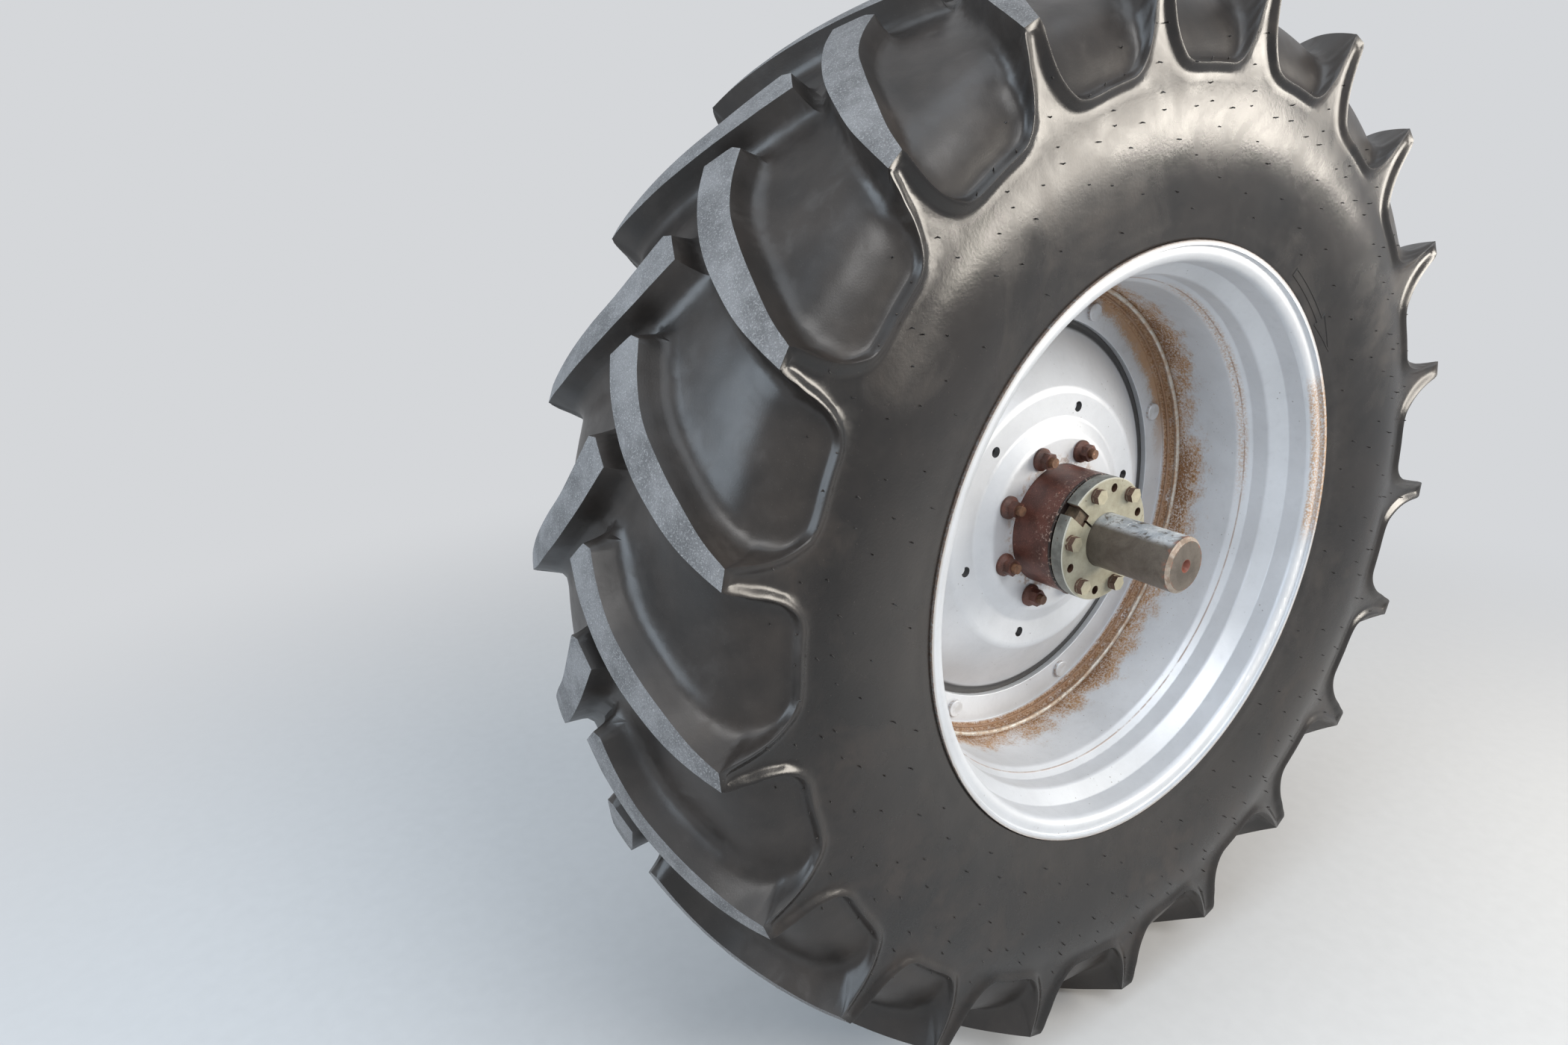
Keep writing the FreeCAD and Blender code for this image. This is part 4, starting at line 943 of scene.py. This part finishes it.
def sleeve_paint():
    p = Paint("sleeve_primer")
    cloud = p.noise(28, 5, 0.62)
    fine = p.noise(260, 4, 0.65)
    face = p.span(p.facing, -0.55, -0.95)
    side = p.span(p.sum("ABSOLUTE", p.facing), 0.35, 0.1)
    outer = p.span(p.radius, 0.105, 0.108)
    shade = p.mix(p.span(cloud, 0.3, 0.68), (0.28, 0.262, 0.19), (0.4, 0.385, 0.295))
    shade = p.mix(p.part(p.span(fine, 0.52, 0.72), 0.35), shade, (0.22, 0.19, 0.13))
    shade = p.mix(p.both(side, outer), shade, p.mix(p.span(cloud, 0.35, 0.6), (0.12, 0.125, 0.115), (0.23, 0.24, 0.22)))
    edge = p.both(outer, p.sum("SUBTRACT", 1.0, p.either(face, side)))
    shade = p.mix(p.part(edge, 0.75), shade, (0.68, 0.69, 0.62))
    hole = p.both(side, p.span(p.radius, 0.106, 0.104))
    shade = p.mix(hole, shade, p.mix(fine, (0.05, 0.028, 0.02), (0.14, 0.075, 0.05)))
    chips = p.both(p.span(p.noise(95, 5, 0.7), 0.62, 0.68), p.span(p.radius, 0.07, 0.1))
    shade = p.mix(p.part(chips, 0.8), shade, (0.1, 0.06, 0.04))
    return p.finish(shade, p.level(cloud, 0.38, 0.62), bumps=((fine, 0.0003), (p.sum("SUBTRACT", 1.0, chips), 0.0003)))


def plated(name, top, sides):
    """Dull plate on the faces that look outboard, rusting on the sides."""
    p = Paint(name)
    fine = p.noise(420, 4, 0.7)
    cloud = p.noise(70, 4, 0.6)
    face = p.span(p.facing, -0.5, -0.9)
    plate = p.mix(p.span(cloud, 0.3, 0.7), top, tuple(c * 1.2 for c in top))
    wear_and_shading = p.mix(p.span(fine, 0.35, 0.7), sides, tuple(min(1.0, c * 2.4) for c in sides))
    keep = p.either(face, p.span(cloud, 0.6, 0.72))
    shade = p.mix(keep, wear_and_shading, p.mix(p.part(p.span(fine, 0.58, 0.72), 0.5), plate, sides))
    return p.finish(shade, p.blend(keep, 0.8, 0.42), p.blend(keep, 0.0, 0.45), bumps=((fine, 0.0004),))


def bar_steel():
    p = Paint("bar_steel")
    cloud = p.noise(22, 5, 0.65, twist=0.4)
    fine = p.noise(330, 4, 0.65)
    lines = p.noise(200, 3, 0.6, where=p.wrapped(1.0, 0.05))
    blot = p.noise(60, 5, 0.7, twist=0.8)
    shade = p.mix(p.span(cloud, 0.3, 0.7), (0.085, 0.07, 0.056), (0.15, 0.128, 0.105))
    shade = p.mix(p.part(p.span(fine, 0.5, 0.75), 0.4), shade, (0.06, 0.045, 0.035))
    # Pale bluish blotches and pale glints along the top of the bar: painted reflection and highlights, set on rubbed
    # patches
    top = p.both(p.band(p.turn, 0.2, 0.33, 0.05), p.span(p.depth, -0.292, -0.28))
    wear_and_shading = p.both(top, p.span(blot, 0.34, 0.5))
    shade = p.mix(wear_and_shading, shade, p.mix(p.span(cloud, 0.35, 0.6), (0.33, 0.36, 0.39), (0.6, 0.62, 0.63)))
    shade = p.mix(p.both(top, p.span(blot, 0.6, 0.66)), shade, (0.8, 0.8, 0.78))
    end = p.span(p.depth, -0.28, -0.291)
    rusty = p.both(end, p.span(p.noise(75, 5, 0.7), 0.5, 0.6), p.span(p.radius, 0.038, 0.043))
    shade = p.mix(p.part(rusty, 0.85), shade, (0.3, 0.105, 0.06))
    slope = p.band(p.facing, -0.85, -0.45, 0.12)
    shade = p.mix(p.part(p.both(end, slope), 0.75), shade, p.mix(p.span(blot, 0.4, 0.6), (0.3, 0.22, 0.16), (0.5, 0.42, 0.34)))
    hole = p.both(end, p.span(p.radius, 0.0125, 0.0105))
    shade = p.mix(hole, shade, p.mix(fine, (0.13, 0.035, 0.025), (0.3, 0.1, 0.06)))
    rough = p.blend(p.either(wear_and_shading, rusty), p.level(lines, 0.34, 0.5), 0.6)
    metal = p.blend(p.either(rusty, hole), 0.35, 0.0)
    return p.finish(shade, rough, metal, bumps=((blot, 0.0004), (lines, 0.00015), (fine, 0.00012)))


def casting_paint():
    p = Paint("casting_paint")
    cloud = p.noise(9, 5, 0.6)
    sand = p.noise(190, 4, 0.65)
    chips = p.both(p.span(p.noise(34, 5, 0.7), 0.64, 0.67), p.span(cloud, 0.4, 0.6))
    shade = p.mix(p.span(cloud, 0.3, 0.7), (0.045, 0.046, 0.05), (0.085, 0.084, 0.083))
    shade = p.mix(p.part(p.span(p.noise(18, 5), 0.5, 0.75), 0.4), shade, (0.17, 0.145, 0.115))
    shade = p.mix(chips, shade, (0.17, 0.075, 0.04))
    return p.finish(shade, p.level(sand, 0.4, 0.72), bumps=((sand, 0.0007), (p.sum("SUBTRACT", 1.0, chips), 0.0003)))


def brass():
    p = Paint("valve_brass", Metallic=0.8)
    cloud = p.noise(120, 5, 0.65)
    fine = p.noise(600, 3)
    shade = p.mix(p.span(cloud, 0.35, 0.65), (0.24, 0.17, 0.08), (0.5, 0.39, 0.2))
    return p.finish(shade, p.level(cloud, 0.32, 0.6), bumps=((fine, 0.0001),))


def ground_steel():
    p = Paint("bearing_steel", Metallic=0.85)
    lines = p.noise(300, 3, 0.6, where=p.wrapped(1.0, 0.04))
    oil = p.noise(25, 5, 0.6)
    shade = p.mix(p.span(oil, 0.35, 0.7), (0.56, 0.55, 0.53), (0.34, 0.3, 0.24))
    return p.finish(shade, p.level(lines, 0.2, 0.4), bumps=((lines, 0.0001),))


def pale_floor():
    """Plain floor that keeps the shadow near the wheel and runs out to the backdrop's own shade."""
    p = Paint("pale_floor", Roughness=0.95, Specular_IOR_Level=0.2)
    p.finish(p.mix(p.noise(30, 4), (0.6, 0.6, 0.6), (0.65, 0.65, 0.65)))
    x, y = p.axis("X"), p.sum("SUBTRACT", p.axis("Y"), WHEEL_Y)
    away = p.sum("SQRT", p.sum("ADD", p.sum("MULTIPLY", x, x), p.sum("MULTIPLY", y, y)))
    seen = p.node("ShaderNodeLightPath")
    share = p.both(p.span(away, 1.2, 3.6), p.either(*(seen.outputs[ray] for ray in SEEN_BY)))
    glow = p.node("ShaderNodeEmission")
    glow.inputs["Color"].default_value = (0.95, 0.97, 1.0, 1)
    glow.inputs["Strength"].default_value = 0.7
    blend = p.node("ShaderNodeMixShader")
    p.put(blend.inputs[0], share)
    p.put(blend.inputs[1], p.shader.outputs[0])
    p.put(blend.inputs[2], glow.outputs[0])
    p.put(p.tree.nodes["Material Output"].inputs["Surface"], blend.outputs[0])
    return p.material


def main():
    scene = bpy.context.scene
    scene.view_settings.view_transform = "Standard"
    make_camera()
    # Floor
    size = 14.0
    mesh = bpy.data.meshes.new("floor")
    mesh.from_pydata([(-size, -size, FLOOR_Z), (size, -size, FLOOR_Z), (size, size, FLOOR_Z), (-size, size, FLOOR_Z)],
                     [], [(0, 1, 2, 3)])
    floor = bpy.data.objects.new("floor", mesh)
    scene.collection.objects.link(floor)
    mesh.materials.append(pale_floor())
    # World: even and plain, shown paler to the camera
    world = bpy.data.worlds.new("studio")
    scene.world = world
    world.use_nodes = True
    tree = world.node_tree
    back = tree.nodes["Background"]
    back.inputs["Color"].default_value = (0.95, 0.97, 1.0, 1)
    seen = tree.nodes.new("ShaderNodeLightPath")
    last = seen.outputs[SEEN_BY[0]]
    for ray in SEEN_BY[1:]:
        either = tree.nodes.new("ShaderNodeMath")
        either.operation = "MAXIMUM"
        tree.links.new(last, either.inputs[0])
        tree.links.new(seen.outputs[ray], either.inputs[1])
        last = either.outputs[0]
    strength = tree.nodes.new("ShaderNodeMath")
    strength.operation = "MULTIPLY_ADD"
    tree.links.new(last, strength.inputs[0])
    strength.inputs[1].default_value = 0.37
    strength.inputs[2].default_value = 0.33
    tree.links.new(strength.outputs[0], back.inputs["Strength"])
    area_light("key", (-0.6, -4.1, 3.1), (0, -0.7, 0), (2.2, 1.4), 78)
    area_light("sheen", (2.8, -3.5, 0.95), (0, -0.8, 0.5), (2.2, 1.25), 140, (1.0, 0.93, 0.83))
    area_light("top", (-0.4, -1.6, 4.6), (0, -0.5, 0), (4.0, 3.0), 80, (0.82, 0.91, 1.0))
    area_light("left", (-4.5, -0.5, 1.9), (0, -0.6, 0.1), (4.2, 2.8), 190, (0.74, 0.87, 1.0))

    tyre = tyre_object()
    for paint in (rubber_top(), rubber_groove(), rubber_side()):
        tyre.data.materials.append(paint)
    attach(tyre, "wheel")
    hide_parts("tyre")

    joined("vent_nibs", nibs(tyre), "wheel", "tyre", rubber_groove())
    joined("turning_arrow", arrow(), "wheel", "tyre", rubber_side(), False)

    silver_grey = (0.635, 0.66, 0.695)
    joined("ring_welds", welds(), "wheel", "rim_paint", silver("weld_silver", (0.62, 0.6, 0.55), weld_stains))
    dark_rust = rust("rusted_steel", (0.045, 0.018, 0.013), (0.13, 0.048, 0.034), (0.26, 0.13, 0.09), 90, (0.3, 0.7))
    cap_zinc = plated("plated_steel", (0.4, 0.37, 0.27), (0.07, 0.04, 0.028))
    castings = casting_paint()
    steel = ground_steel()
    primer = sleeve_paint()
    paints = {"rim": silver("rim_silver", silver_grey, rim_stains),
              "mounting_ring": silver("ring_silver", silver_grey, ring_stains),
              "disc": silver("disc_silver", silver_grey, disc_stains, disc_gap_shade),
              "ring_screws": silver("bolt_silver", silver_grey, bolt_stains),
              "hub": rust("hub_oxide", (0.06, 0.022, 0.017), (0.135, 0.048, 0.035), (0.25, 0.12, 0.09), 60,
                          (0.26, 0.6), -0.107),
              "hub_key": rust("key_rust", (0.06, 0.045, 0.03), (0.14, 0.1, 0.065), (0.25, 0.19, 0.12), 120),
              "wheel_studs": rust("stud_rust", (0.07, 0.032, 0.02), (0.2, 0.1, 0.055), (0.33, 0.19, 0.11), 150),
              "wheel_nuts": dark_rust, "sleeve_upper": primer, "sleeve_lower": primer,
              "sleeve_screws": cap_zinc, "cap_screws": cap_zinc, "valve": brass(), "axle_shaft": bar_steel(),
              "axle_housing": castings, "bearing_cap": castings, "outer_bearing": steel, "inner_bearing": steel}
    paints["ring_nuts"] = paints["ring_screws"]
    for name, paint in paints.items():
        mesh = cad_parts[name].data
        if not mesh.materials:
            mesh.materials.append(paint)
        for i in range(len(mesh.materials)):
            mesh.materials[i] = paint


main()
